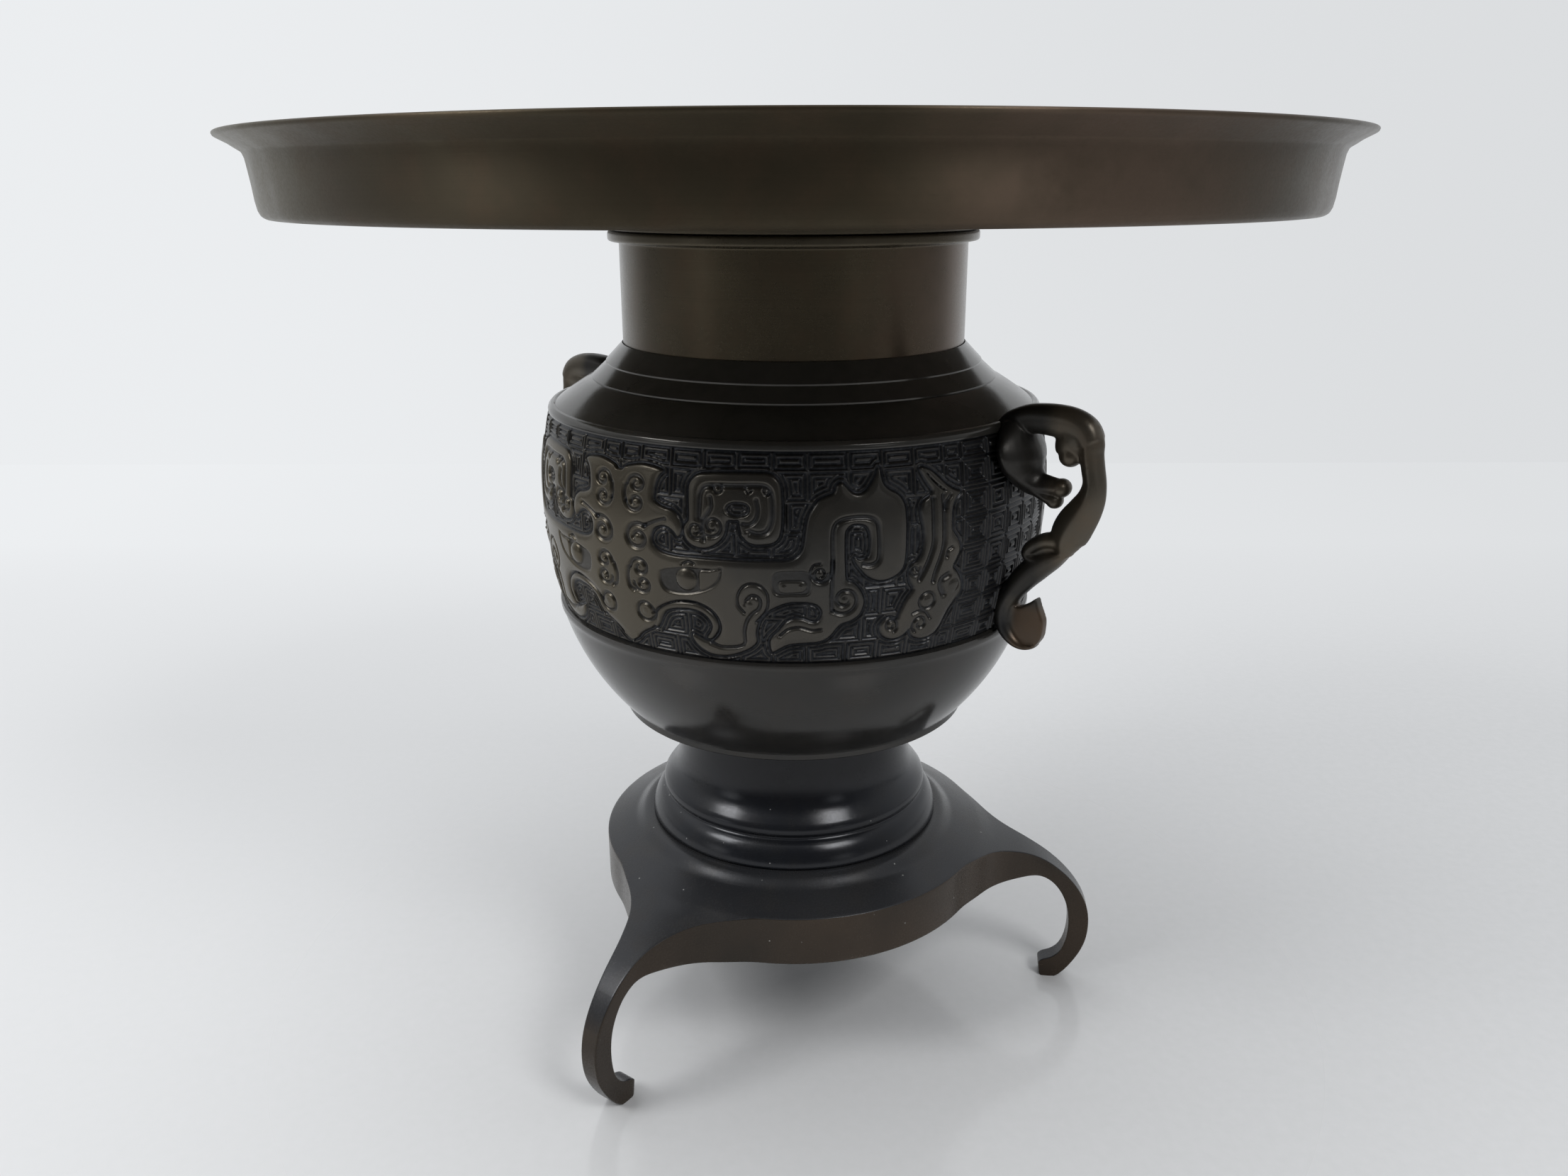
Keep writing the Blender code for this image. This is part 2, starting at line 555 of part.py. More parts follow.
def scroll_tube(name, line, steps, group):
    """A rounded bar along a line in the handle's plane: a bevelled curve made into a closed mesh."""
    curve = bpy.data.curves.new(name, "CURVE")
    curve.dimensions = "3D"
    curve.bevel_depth = 1.0 * MM
    curve.bevel_resolution = 1
    curve.use_fill_caps = True
    points = smooth_line(line, steps)
    spline = curve.splines.new("POLY")
    spline.points.add(len(points) - 1)
    for point, (out, up, radius) in zip(spline.points, points):
        point.co = (BELLY_R + out * BAND_H, 0.0, BAND_Z + up * BAND_H, 1.0)
        point.radius = radius * BAND_H / curve.bevel_depth
    path = bpy.data.objects.new(name, curve)
    group.objects.link(path)
    bpy.context.view_layer.update()
    shape = path.evaluated_get(bpy.context.evaluated_depsgraph_get())
    mesh = bpy.data.meshes.new_from_object(shape)
    bpy.data.objects.remove(path, do_unlink=True)
    bm = bmesh.new()
    bm.from_mesh(mesh)
    bmesh.ops.remove_doubles(bm, verts=bm.verts, dist=0.00001)
    bmesh.ops.recalc_face_normals(bm, faces=bm.faces)
    bm.to_mesh(mesh)
    bm.free()
    return add_object(name, mesh, group)


def ball(name, out, up, radius, group):
    mesh = bpy.data.meshes.new(name)
    bm = bmesh.new()
    bmesh.ops.create_icosphere(bm, subdivisions=1, radius=radius * BAND_H)
    bmesh.ops.translate(bm, verts=bm.verts, vec=(BELLY_R + out * BAND_H, 0.0, BAND_Z + up * BAND_H))
    bm.to_mesh(mesh)
    bm.free()
    return add_object(name, mesh, group)


def build_handle(name, degrees, group, guides, material):
    handle = scroll_tube(name, ARCH, 1, group)
    handle.data.materials.append(material)
    extras = [scroll_tube(name + "_head", HEAD, 1, guides), scroll_tube(name + "_nub", NUB, 1, guides),
              scroll_tube(name + "_curl", CURL, 1, guides),
              ball(name + "_snout", 0.228, 0.742, 0.056, guides), ball(name + "_chin", 0.20, 0.675, 0.050, guides)]
    for extra in extras:
        boolean(handle, "UNION", as_guide(extra))
    seat = [(band_r(share) + RELIEF_H + SEAT_GAP, BAND_Z + share * BAND_H)
            for share in (1.0, 0.8, BELLY_SHARE, 0.4, 0.2, 0.0)]
    top_r = LIP_R + SEAT_GAP
    low_z = BAND_Z - 3.0 * MM
    outline = [(top_r, MOUTH_Z), (top_r, BAND_TOP_Z)] + seat
    outline += [(BOWL_TOP_R + 0.4 * MM + SEAT_GAP, BAND_Z), (BOWL_TOP_R + 0.4 * MM + SEAT_GAP, low_z),
                (BOWL_TOP_R - 8.0 * MM, low_z - 14.0 * MM), (0.0, low_z - 14.0 * MM), (0.0, MOUTH_Z)]
    cutter = as_guide(turned(name + "_seat", outline, BODY_SIDES * 2, guides))
    for thing in [handle] + extras:
        thing.rotation_euler.z = math.radians(degrees)
    boolean(handle, "DIFFERENCE", cutter)
    return handle


def main():
    clear_scene()
    vase = new_collection("usubata_vase")
    figures = new_collection("relief_figures")
    guides = new_collection("cutters")
    brown = bronze("brown_bronze", (0.115, 0.085, 0.058), 0.36)
    dark = bronze("dark_bronze", (0.060, 0.058, 0.055), 0.38)
    blue_black = bronze("blue_black_bronze", (0.045, 0.047, 0.052), 0.32)
    handle_brown = bronze("handle_bronze", (0.072, 0.062, 0.050), 0.45)
    stand_bronze = bronze("stand_bronze", (0.055, 0.053, 0.050), 0.38)

    pieces = [build_dish(vase, brown), build_neck(vase, brown.copy())]
    pieces.append(build_body(vase, figures, dark))
    pieces.append(build_handle("handle_right", HANDLE_DEG, vase, guides, handle_brown))
    pieces.append(build_handle("handle_left", HANDLE_DEG + 180.0, vase, guides, handle_brown.copy()))
    pieces.append(build_pedestal(vase, blue_black))
    pieces.append(build_stand(vase, guides, stand_bronze))
    for piece in pieces:
        shade(piece)


main()
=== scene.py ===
# %% [markdown]
# # A usubata: the bronze flower vase with a wide dish
#
# The real vase is five castings in patinated bronze, stacked on one axis: a stand on three curled
# legs, a slim pedestal, an urn with a band of cast relief, a short neck, and the wide dish that
# holds the water. Two scroll handles are fixed to the urn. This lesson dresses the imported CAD
# model: each piece is modelled again with Blender's own tools, finely enough for a close look,
# and takes the place of its plain solid.

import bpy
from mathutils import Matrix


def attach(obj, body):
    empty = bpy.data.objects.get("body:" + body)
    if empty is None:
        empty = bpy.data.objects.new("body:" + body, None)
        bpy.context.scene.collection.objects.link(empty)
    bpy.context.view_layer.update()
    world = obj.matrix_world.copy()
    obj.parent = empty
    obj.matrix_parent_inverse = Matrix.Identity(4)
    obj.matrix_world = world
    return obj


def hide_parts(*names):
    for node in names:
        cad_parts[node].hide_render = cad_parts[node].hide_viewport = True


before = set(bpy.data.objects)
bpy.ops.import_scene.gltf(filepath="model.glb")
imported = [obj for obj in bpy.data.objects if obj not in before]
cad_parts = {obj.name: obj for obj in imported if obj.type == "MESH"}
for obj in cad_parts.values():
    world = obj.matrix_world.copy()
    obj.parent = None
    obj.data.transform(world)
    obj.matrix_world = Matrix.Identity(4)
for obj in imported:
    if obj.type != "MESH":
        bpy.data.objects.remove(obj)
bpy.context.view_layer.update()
print("CAD nodes:", sorted(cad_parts))

# %% Tools, and the unit that a founder would measure in
import math

import bmesh
import bpy
import numpy as np
from mathutils import Matrix, Vector

MM = 0.001
WELD = 0.002 * MM       # points nearer than this are merged
print("one millimetre is", MM, "metre")

# %% [markdown]
# ## The stack of castings
#
# Every height below is measured from the floor, in millimetres, and is the same as in the CAD
# model. A gap of 0.3 mm between two castings keeps their faces apart, as the real seams do.

# %% Heights and radii that the pieces share
GAP = 0.3
STAND_TOP = 62.0
PEDESTAL_LOW = STAND_TOP + GAP
PEDESTAL_TOP = 102.0
URN_LOW = PEDESTAL_TOP + GAP
BAND_LOW = 139.1
BAND_TOP = 196.0
MOUTH = 214.8
LEDGE = 208.5
COLLAR_LOW = 243.4
COLLAR_TOP = 246.3
DISH_LOW = COLLAR_TOP + GAP
DISH_UNDER = 251.0
RIM_TOP = 271.1
MASK_DEG = -127.0       # where the front mask's nose points, from the +X axis
HANDLE_DEG = MASK_DEG + 90.0
print("the vase is", RIM_TOP, "mm high")

# %% [markdown]
# ## Camera
#
# The photograph looks down on the vase from close by, so the dish spreads wide and the legs draw
# in. The place and tilt of the camera come from matching known circles of the vase to the picture.
# It is made first, so every piece can be judged through it.

# %% Make the camera
CAMERA_PLACE = Vector((0.0, -369.9, 258.5)) * MM
PITCH, YAW, ROLL = (math.radians(a) for a in (18.27, -0.48, -0.20))
PHOTO_WIDTH_PX = 2212.0
FOCAL_PX = 1724.6
SENSOR_MM = 36.0

forward = Vector((math.sin(YAW) * math.cos(PITCH), math.cos(YAW) * math.cos(PITCH),
                  -math.sin(PITCH)))
level = Vector((math.cos(YAW), -math.sin(YAW), 0.0))
upright = level.cross(forward)
right = level * math.cos(ROLL) + upright * math.sin(ROLL)
up = upright * math.cos(ROLL) - level * math.sin(ROLL)

bpy.ops.object.select_all(action="DESELECT")
bpy.ops.object.camera_add()
camera = bpy.context.object
camera.name = "photo_camera"
turn = Matrix((right, up, -forward)).transposed().to_4x4()
camera.matrix_world = Matrix.Translation(CAMERA_PLACE) @ turn
camera.data.sensor_fit = "HORIZONTAL"
camera.data.sensor_width = SENSOR_MM
camera.data.lens = SENSOR_MM * FOCAL_PX / PHOTO_WIDTH_PX
camera.data.clip_start = 0.01
bpy.context.scene.camera = camera
print("lens of %.1f mm" % camera.data.lens)

# %% [markdown]
# ## Turned pieces
#
# The dish, neck, urn and pedestal were all finished on a lathe, so each is a profile turned round
# the axis. By hand: a plane is merged to one point, the point is extruded along the profile, and
# the line is spun a full turn. The first and last lines of the spin are then merged, which closes
# the seam, and so are the points on the axis, which closes the poles.

# %% Helpers that select, name and close a piece
def deselect():
    """An operator acts on all that is selected, so every step starts from nothing."""
    if bpy.context.object and bpy.context.object.mode != "OBJECT":
        bpy.ops.object.mode_set(mode="OBJECT")
    bpy.ops.object.select_all(action="DESELECT")


def pick(piece):
    """One piece is selected and made active."""
    deselect()
    piece.select_set(True)
    bpy.context.view_layer.objects.active = piece


def named(name):
    """The object just added gets its name."""
    piece = bpy.context.object
    piece.name = piece.data.name = name
    return piece


def face_outwards():
    """All normals of the piece in edit mode are turned outwards, and edit mode ends."""
    bpy.ops.mesh.select_all(action="SELECT")
    bpy.ops.mesh.normals_make_consistent(inside=False)
    bpy.ops.object.mode_set(mode="OBJECT")


deselect()
print("selected now:", len(bpy.context.selected_objects), "objects")

# %% Draw a line point by point, and turn a profile
def drawn_line(name, points):
    """A plane merged to one point, extruded from place to place; the piece stays in edit mode."""
    deselect()
    bpy.ops.mesh.primitive_plane_add(size=MM)
    piece = named(name)
    bpy.ops.object.mode_set(mode="EDIT")
    bpy.ops.mesh.select_mode(type="VERT")
    bpy.ops.mesh.select_all(action="SELECT")
    bpy.ops.mesh.merge(type="CENTER")
    bpy.ops.transform.translate(value=points[0])
    for a, b in zip(points, points[1:]):
        bpy.ops.mesh.extrude_vertices_move(TRANSFORM_OT_translate={"value": b - a})
    bpy.ops.mesh.select_all(action="SELECT")
    return piece


def turned(name, profile, sides=192, sharp=35.0):
    """A closed profile of (radius, height) in millimetres, turned round the vase's axis."""
    points = [Vector((r * MM, 0.0, z * MM)) for r, z in profile]
    from_pole_to_pole = profile[0][0] == 0.0 and profile[-1][0] == 0.0
    piece = drawn_line(name, points if from_pole_to_pole else points + points[:1])
    bpy.ops.mesh.spin(steps=sides, angle=math.tau, center=(0.0, 0.0, 0.0), axis=(0.0, 0.0, 1.0))
    bpy.ops.mesh.select_all(action="SELECT")
    bpy.ops.mesh.remove_doubles(threshold=WELD)
    face_outwards()
    bpy.ops.object.shade_smooth_by_angle(angle=math.radians(sharp))
    print(name, "has", len(piece.data.polygons), "faces")
    return piece


# %% Soft corners, because a polished casting has no knife edges
SLIGHT_BEND = 0.35      # radians; a corner that bends less stays as it is
MOST_OF_SIDE = 0.42     # a cut takes no more of the next side than this


def softened(profile, size=0.5, steps=3):
    """Each corner of the closed profile is cut back by `size` millimetres and rounded."""
    points = [Vector(p) for p in profile]
    line = []
    for before, here, after in zip(points[-1:] + points, points, points[1:] + points[:1]):
        back, on = before - here, after - here
        bend = back.angle(-on) if back.length and on.length else 0.0
        if bend < SLIGHT_BEND:
            line.append(tuple(here))
            continue
        a = here + back.normalized() * min(size, MOST_OF_SIDE * back.length)
        b = here + on.normalized() * min(size, MOST_OF_SIDE * on.length)
        for k in range(steps + 1):
            t = k / steps
            line.append(tuple(a * (1 - t) ** 2 + here * (2 * t * (1 - t)) + b * t ** 2))
    return line


def arc(start, end, bulge, count):
    """Points of a round bulge between two points; a positive bulge goes to the right of the way."""
    a, b = Vector(start), Vector(end)
    side = Vector((b.y - a.y, a.x - b.x))
    return [tuple(a.lerp(b, t) + side * (bulge * 4.0 * t * (1.0 - t)))
            for t in (i / (count + 1) for i in range(1, count + 1))]


square = softened([(0, 0), (1, 0), (1, 1), (0, 1)])
print("a softened square has", len(square), "points")

# %% [markdown]
# ## The dish
#
# A shallow water dish about 30 cm across. Its wall stands nearly upright, kinks, and flares to a
# thin rim. A foot ring under it sits on the neck's collar, and a spigot inside the ring keeps it
# central. The profile is read from the photograph and turned; nothing else would be as true.

# %% Turn the dish
DISH = [(151.1, 271.05), (151.5, 270.7), (151.3, 270.0), (149.8, 269.2), (148.3, 268.4),
        (147.0, 267.5), (145.3, 266.4), (144.8, 265.0), (144.4, 262.0), (144.0, 258.5),
        (143.7, 255.0), (143.3, 252.7), (142.7, 251.4), (141.6, 250.7), (140.2, 250.55),
        (54.0, DISH_UNDER), (53.9, DISH_LOW), (47.0, DISH_LOW), (47.0, DISH_LOW - 9.0),
        (44.0, DISH_LOW - 9.0), (44.0, 254.0), (137.8, 254.0), (139.8, 254.4), (140.9, 255.6),
        (141.5, 259.0), (141.9, 263.0), (142.2, 266.3), (143.2, 267.9), (146.0, 269.4),
        (149.0, 270.8), (150.3, 271.15)]
dish = turned("dish_turned", softened(DISH, 0.45))

# %% [markdown]
# ## The neck and its collar
#
# The neck is a plain tube that drops into the urn's mouth. The collar at its top is a raised ring
# with rounded edges, and carries the dish's foot.

# %% Turn the neck
NECK = [(53.2, COLLAR_TOP), (53.7, 245.8), (53.7, 243.9), (53.2, COLLAR_LOW), (50.6, 243.15),
        (50.5, 242.6), (50.5, LEDGE + GAP), (47.5, LEDGE + GAP), (47.5, COLLAR_TOP)]
neck = turned("neck_turned", softened(NECK, 0.5))

# %% [markdown]
# ## The urn
#
# The urn is hollow from its mouth down to the floor over the pedestal. Its shoulder falls in two
# turned steps to a rounded lip. The relief band is set back a little here, and filled later by
# separate panels of cast relief. A small rolled lip, the round bowl and a foot ring follow.

# %% The curve of the relief band
WIDEST = 0.6            # where the band is widest, as a share of its height
WIDEST_R = 75.6


def band_radius(z):
    """Radius of the band's ground at a height."""
    share = (np.asarray(z, float) - BAND_LOW) / (BAND_TOP - BAND_LOW)
    above = np.clip((share - WIDEST) / (1.0 - WIDEST), 0.0, None)
    below = np.clip((WIDEST - share) / WIDEST, 0.0, None)
    return WIDEST_R - 2.7 * above ** 2 - 3.8 * below ** 2


def set_back(heights, depth):
    """Points of a profile that stay `depth` millimetres inside the band's ground."""
    return [(float(band_radius(z)) - depth, z) for z in heights]


print("the band is", float(band_radius(173.0)), "mm in radius at its widest")

# %% Turn the urn
SHOULDER = [(50.8, MOUTH), (55.7, 209.75), (55.65, 209.3), (60.0, 205.45), (59.95, 205.0),
            (62.6, 203.8), (65.6, 201.9), (68.6, 199.9), (71.1, 198.1)]
LIP = [(71.5, 198.35), (72.3, 198.2), (73.0, 197.5), (73.3, 196.7), (73.2, 196.0), (72.2, 195.8)]
CORE = set_back(np.linspace(195.6, 139.3, 12), 0.65)
ROLLED_LIP = [(72.2, 139.05), (72.9, 138.7), (73.0, 137.8), (72.9, 136.9), (72.6, 136.45)]
BOWL = arc((72.5, 136.4), (54.5, 104.5), -0.062, 22)
FOOT_RING = [(54.45, 104.3), (54.2, 104.05), (54.2, 102.6), (53.9, URN_LOW), (0.0, URN_LOW)]
CAVITY = [(0.0, 105.5), (49.1, 106.1)] + arc((49.1, 106.1), (68.6, 139.1), 0.062, 8)
CAVITY += [(68.6, 139.1)] + set_back((150.0, 162.0, 173.0, 184.0), 3.2)
CAVITY += [(66.1, 195.1), (47.2, 205.5), (47.2, LEDGE), (50.8, LEDGE)]
OUTSIDE = SHOULDER + LIP + CORE + ROLLED_LIP + BOWL + FOOT_RING
urn = turned("urn_turned", CAVITY + OUTSIDE, sharp=30.0)

# %% [markdown]
# ## The pedestal
#
# A slim turned stem between the stand and the urn. It is almost straight, then swells in a bell,
# steps in over a fine recess and ends in a quarter round on the stand.

# %% Turn the pedestal
PEDESTAL = [(36.9, PEDESTAL_TOP), (37.0, 93.0), (37.2, 88.0), (37.6, 84.4), (38.1, 81.8),
            (38.75, 79.7), (39.5, 78.2), (40.7, 76.7), (42.0, 75.1), (42.7, 74.1), (43.0, 73.2),
            (43.05, 72.1), (42.9, 71.4), (42.5, 71.1), (42.4, 70.5), (42.8, 70.0), (43.8, 69.4),
            (44.6, 68.5), (45.4, 67.4), (46.1, 66.0), (46.6, 64.6), (46.9, 63.2),
            (46.9, PEDESTAL_LOW), (42.4, PEDESTAL_LOW), (40.4, 66.5), (34.2, 75.5),
            (33.9, PEDESTAL_TOP)]
pedestal = turned("pedestal_turned", softened(PEDESTAL, 0.35))

# %% [markdown]
# ## Cast relief
#
# The band carries an old pattern of Chinese bronzes: a beast's mask whose halves mirror each other
# in the nose line, small dragons beside it, and fine square spirals that fill the ground. It was
# cast, so the figures have rounded edges and flat, worn tops. It could be a bump in a material,
# but then the edges would stay flat against the light, so it is real geometry: one quarter of the
# girth is drawn as a height map, and dense panels are shaped by it.
#
# The outlines are in degrees from the nose line and millimetres above the floor.

# %% Outlines of the figures
FIGURES = {
    "face": [
        (-1.1, 187.4), (0.1, 187.8), (1.5, 189.5), (3.7, 190.4), (5.8, 190.8), (8.1, 190.6),
        (9.8, 190.2), (10.5, 189.6), (9.9, 188.8), (9.3, 187.6), (8.9, 186.1), (8.7, 184.5),
        (8.6, 182.8), (8.9, 181.8), (9.9, 181.0), (11.1, 180.5), (12.8, 180.0), (14.1, 178.7),
        (14.8, 176.8), (14.8, 174.9), (14.1, 173.3), (13.2, 174.5), (12.2, 175.4), (11.1, 175.8),
        (10.0, 175.6), (8.8, 174.7), (8.1, 173.2), (8.0, 171.7), (8.4, 170.2), (9.4, 169.1),
        (10.8, 168.4), (13.2, 168.0), (16.2, 168.0), (20.6, 168.1), (26.2, 168.1), (31.7, 168.2),
        (35.4, 168.4), (37.3, 169.2), (38.5, 170.9), (39.0, 173.1), (39.3, 176.4), (39.8, 179.7),
        (40.8, 182.2), (41.9, 183.9), (43.1, 184.7), (44.5, 185.4), (45.0, 186.2), (45.2, 187.2),
        (45.7, 187.9), (46.3, 188.1), (46.9, 187.3), (47.6, 186.3), (48.7, 185.3), (49.9, 185.2),
        (51.0, 185.9), (51.9, 187.2), (52.7, 188.7), (53.3, 190.0), (53.6, 191.3), (53.9, 190.1),
        (54.2, 188.4), (54.7, 186.9), (55.7, 185.8), (56.8, 185.0), (57.9, 183.8), (58.6, 182.3),
        (59.0, 180.4), (59.2, 176.7), (59.2, 172.9), (59.2, 169.2), (59.0, 166.3), (58.3, 164.3),
        (57.1, 163.1), (55.7, 162.4), (54.1, 162.2), (52.5, 162.8), (51.0, 164.1), (50.0, 165.7),
        (49.2, 167.1), (48.7, 168.7), (49.6, 168.2), (50.9, 168.3), (51.7, 169.4), (51.9, 172.0),
        (51.8, 174.6), (51.3, 176.5), (50.2, 177.5), (48.4, 177.7), (47.3, 176.8), (46.8, 175.2),
        (46.8, 170.5), (46.9, 166.8), (47.2, 163.1), (48.4, 162.2), (49.5, 160.8), (50.5, 158.7),
        (50.9, 156.6), (50.6, 154.6), (50.0, 153.1), (49.0, 152.0), (47.9, 151.3), (46.5, 150.8),
        (45.5, 149.5), (44.5, 147.7), (43.4, 146.5), (42.0, 145.8), (39.9, 145.6), (37.7, 145.4),
        (35.9, 145.0), (34.5, 144.1), (32.8, 142.8), (32.3, 144.0), (32.3, 146.2), (32.8, 147.4),
        (33.8, 148.7), (34.7, 150.2), (35.6, 151.6), (37.0, 152.5), (38.7, 152.4), (40.2, 151.6),
        (41.5, 151.5), (42.3, 152.7), (42.6, 154.3), (42.0, 155.9), (40.7, 156.9), (38.4, 157.3),
        (35.9, 157.1), (33.7, 156.0), (31.8, 154.5), (30.5, 152.7), (29.7, 150.4), (29.4, 147.9),
        (29.5, 145.8), (28.4, 144.0), (26.1, 142.3), (23.0, 141.0), (19.9, 141.0), (17.6, 142.4),
        (16.2, 144.3), (15.8, 146.2), (17.0, 145.8), (18.5, 144.9), (19.9, 144.7), (21.2, 146.0),
        (22.1, 147.8), (22.3, 149.9), (21.7, 152.3), (20.3, 154.3), (18.3, 155.6), (15.9, 156.1),
        (13.3, 155.7), (11.0, 154.7), (8.8, 153.1), (7.7, 151.6), (8.1, 150.4), (7.6, 148.2),
        (6.3, 146.4), (4.7, 145.3), (3.0, 143.8), (1.5, 142.0), (-0.7, 140.7), (-2.9, 140.6)],
    "horn": [
        (18.5, 189.8), (22.1, 190.3), (26.3, 190.5), (30.4, 190.6), (32.1, 190.5), (33.3, 189.8),
        (34.1, 188.6), (34.5, 187.1), (34.7, 183.6), (34.7, 179.2), (34.5, 176.1), (34.0, 174.2),
        (32.9, 173.1), (31.1, 172.7), (29.3, 172.7), (28.1, 173.4), (27.2, 174.8), (26.8, 176.5),
        (26.5, 178.7), (25.6, 178.7), (24.8, 178.7), (24.1, 178.1), (23.9, 176.3), (23.4, 174.4),
        (22.4, 172.8), (21.1, 171.6), (19.7, 171.0), (18.2, 171.0), (16.8, 171.7), (15.8, 173.1),
        (15.4, 175.0), (15.6, 176.5), (16.4, 177.9), (16.5, 180.7), (16.4, 184.2), (16.4, 186.5),
        (17.0, 188.3)],
    "lip_band": [
        (7.6, 150.7), (8.8, 152.4), (10.6, 153.9), (13.1, 155.1), (15.8, 155.4), (18.2, 155.0),
        (20.0, 153.6), (21.2, 151.8), (21.7, 149.6), (21.3, 147.7), (20.0, 145.6), (19.1, 145.9),
        (19.9, 147.5), (20.4, 149.4), (19.9, 151.2), (18.8, 152.7), (17.0, 153.6), (14.8, 153.7),
        (12.2, 153.2), (10.4, 152.2), (9.3, 150.5), (8.5, 148.4), (7.6, 146.9), (7.0, 147.4),
        (7.7, 149.1)],
    "dragon": [
        (62.4, 190.4), (64.3, 189.9), (66.3, 188.0), (68.4, 185.5), (70.4, 183.9), (71.8, 183.1),
        (70.8, 181.8), (69.8, 179.4), (69.7, 175.8), (70.1, 172.9), (71.5, 170.3), (72.1, 167.6),
        (71.2, 164.9), (70.6, 163.1), (71.9, 161.2), (73.1, 158.4), (73.3, 155.5), (72.0, 153.6),
        (70.7, 151.7), (69.7, 149.4), (68.8, 146.7), (67.6, 144.7), (66.0, 143.8), (64.0, 143.8),
        (62.1, 145.1), (61.4, 147.2), (60.2, 145.9), (58.7, 145.0), (56.9, 145.1), (55.3, 146.4),
        (54.6, 148.6), (55.1, 150.4), (56.6, 151.2), (58.2, 150.5), (59.0, 153.0), (60.0, 156.1),
        (61.4, 158.7), (60.6, 160.8), (60.2, 163.2), (60.6, 165.3), (61.9, 166.4), (62.9, 168.5),
        (63.3, 171.9), (63.1, 175.1), (62.4, 179.6), (63.0, 182.0), (64.6, 183.2), (65.0, 184.6),
        (63.8, 186.9)],
}
print(len(FIGURES), "figures")

# %% Lines and scrolls engraved on them
# Width of the engraved line in millimetres, and its points
LINES = {
    "horn_g1": (1.9, [
        (18.6, 178.7), (18.7, 182.3), (18.9, 185.0), (19.7, 186.7), (21.5, 187.2), (26.3, 187.4),
        (30.4, 187.6), (32.0, 187.1), (32.8, 185.3), (33.0, 181.8), (32.8, 178.6), (32.0, 176.3),
        (30.4, 175.5), (28.5, 176.0)]),
    "horn_g2": (0.8, [
        (21.2, 186.8), (22.1, 185.5), (23.1, 185.9), (23.0, 187.1)]),
    "horn_g3": (0.6, [
        (27.7, 186.9), (28.3, 185.7), (29.1, 186.3)]),
    "horn_g4": (0.6, [
        (31.2, 186.5), (31.8, 185.3), (32.5, 185.7)]),
    "horn_g5": (1.4, [
        (29.9, 184.0), (30.2, 181.7), (29.9, 179.4), (28.8, 177.9), (27.3, 177.8)]),
    "horn_g6": (1.6, [
        (20.9, 184.2), (21.1, 181.9), (20.3, 179.8), (19.4, 177.9), (19.4, 175.1), (19.6, 173.2)]),
    "arch": (1.6, [
        (44.5, 154.8), (44.4, 159.2), (44.5, 166.9), (44.4, 173.5), (44.6, 176.8), (45.4, 178.4),
        (47.0, 179.2), (49.7, 179.4), (51.8, 179.0), (53.0, 177.8), (53.4, 175.5), (53.6, 169.9),
        (53.2, 167.5), (51.8, 166.7), (50.4, 167.0)]),
    "leaf_mid": (1.0, [
        (34.2, 147.7), (35.9, 149.6), (38.1, 150.2), (40.5, 149.3), (42.4, 149.5)]),
    "nose_l": (0.6, [
        (-2.1, 187.2), (-1.8, 183.2), (-2.2, 180.3)]),
    "drag_head": (0.6, [
        (63.9, 189.0), (65.7, 186.3), (68.0, 184.0)]),
    "brow": (0.9, [
        (14.9, 166.2), (16.2, 167.0), (17.4, 166.5)]),
    "s1c": (1.4, [
        (1.8, 185.0), (1.6, 183.1), (1.9, 180.9)]),
    "s2b": (1.3, [
        (6.5, 175.0), (9.0, 176.6), (11.3, 177.6)]),
    "s3c": (1.4, [
        (1.9, 162.8), (1.5, 160.3), (1.9, 157.6), (2.9, 156.6)]),
    "curl_in": (1.3, [
        (20.0, 144.5), (22.1, 143.6), (24.4, 143.7), (26.3, 144.3), (27.1, 145.5), (27.1, 148.6),
        (27.7, 151.7), (28.8, 153.8), (30.0, 155.1), (30.5, 156.8), (30.1, 158.4), (28.9, 158.9),
        (27.9, 157.8), (27.6, 156.6)]),
    "curl_out": (0.9, [
        (27.3, 154.0), (26.1, 156.1), (26.0, 158.6), (27.0, 161.1), (28.6, 162.2), (30.5, 161.7),
        (31.8, 159.7), (32.0, 157.0), (31.4, 154.3), (29.6, 151.5)]),
    "hook": (0.9, [
        (44.4, 168.2), (44.3, 165.0), (43.6, 163.2), (42.2, 162.6), (40.8, 163.5), (40.2, 165.5),
        (40.8, 167.3), (42.0, 167.7)]),
    "drag_a": (1.7, [
        (65.0, 182.4), (65.2, 175.7), (65.3, 171.0), (64.6, 167.3), (63.5, 163.8), (62.4, 161.3)]),
    "drag_b": (1.7, [
        (67.4, 183.0), (67.7, 176.2), (67.8, 170.5), (67.2, 166.8), (66.2, 163.1), (65.7, 160.2)]),
    "drag_c": (1.2, [
        (69.2, 182.7), (68.3, 181.2), (68.1, 179.3)]),
    "drag_d": (2.3, [
        (69.3, 161.2), (67.9, 160.3), (67.6, 158.4), (68.6, 155.9)]),
    "drag_e": (1.1, [
        (69.8, 168.7), (68.8, 168.0), (68.6, 166.3)]),
    "drag_f": (1.0, [
        (61.6, 151.7), (63.1, 152.2), (64.7, 151.5), (65.9, 149.6)]),
}
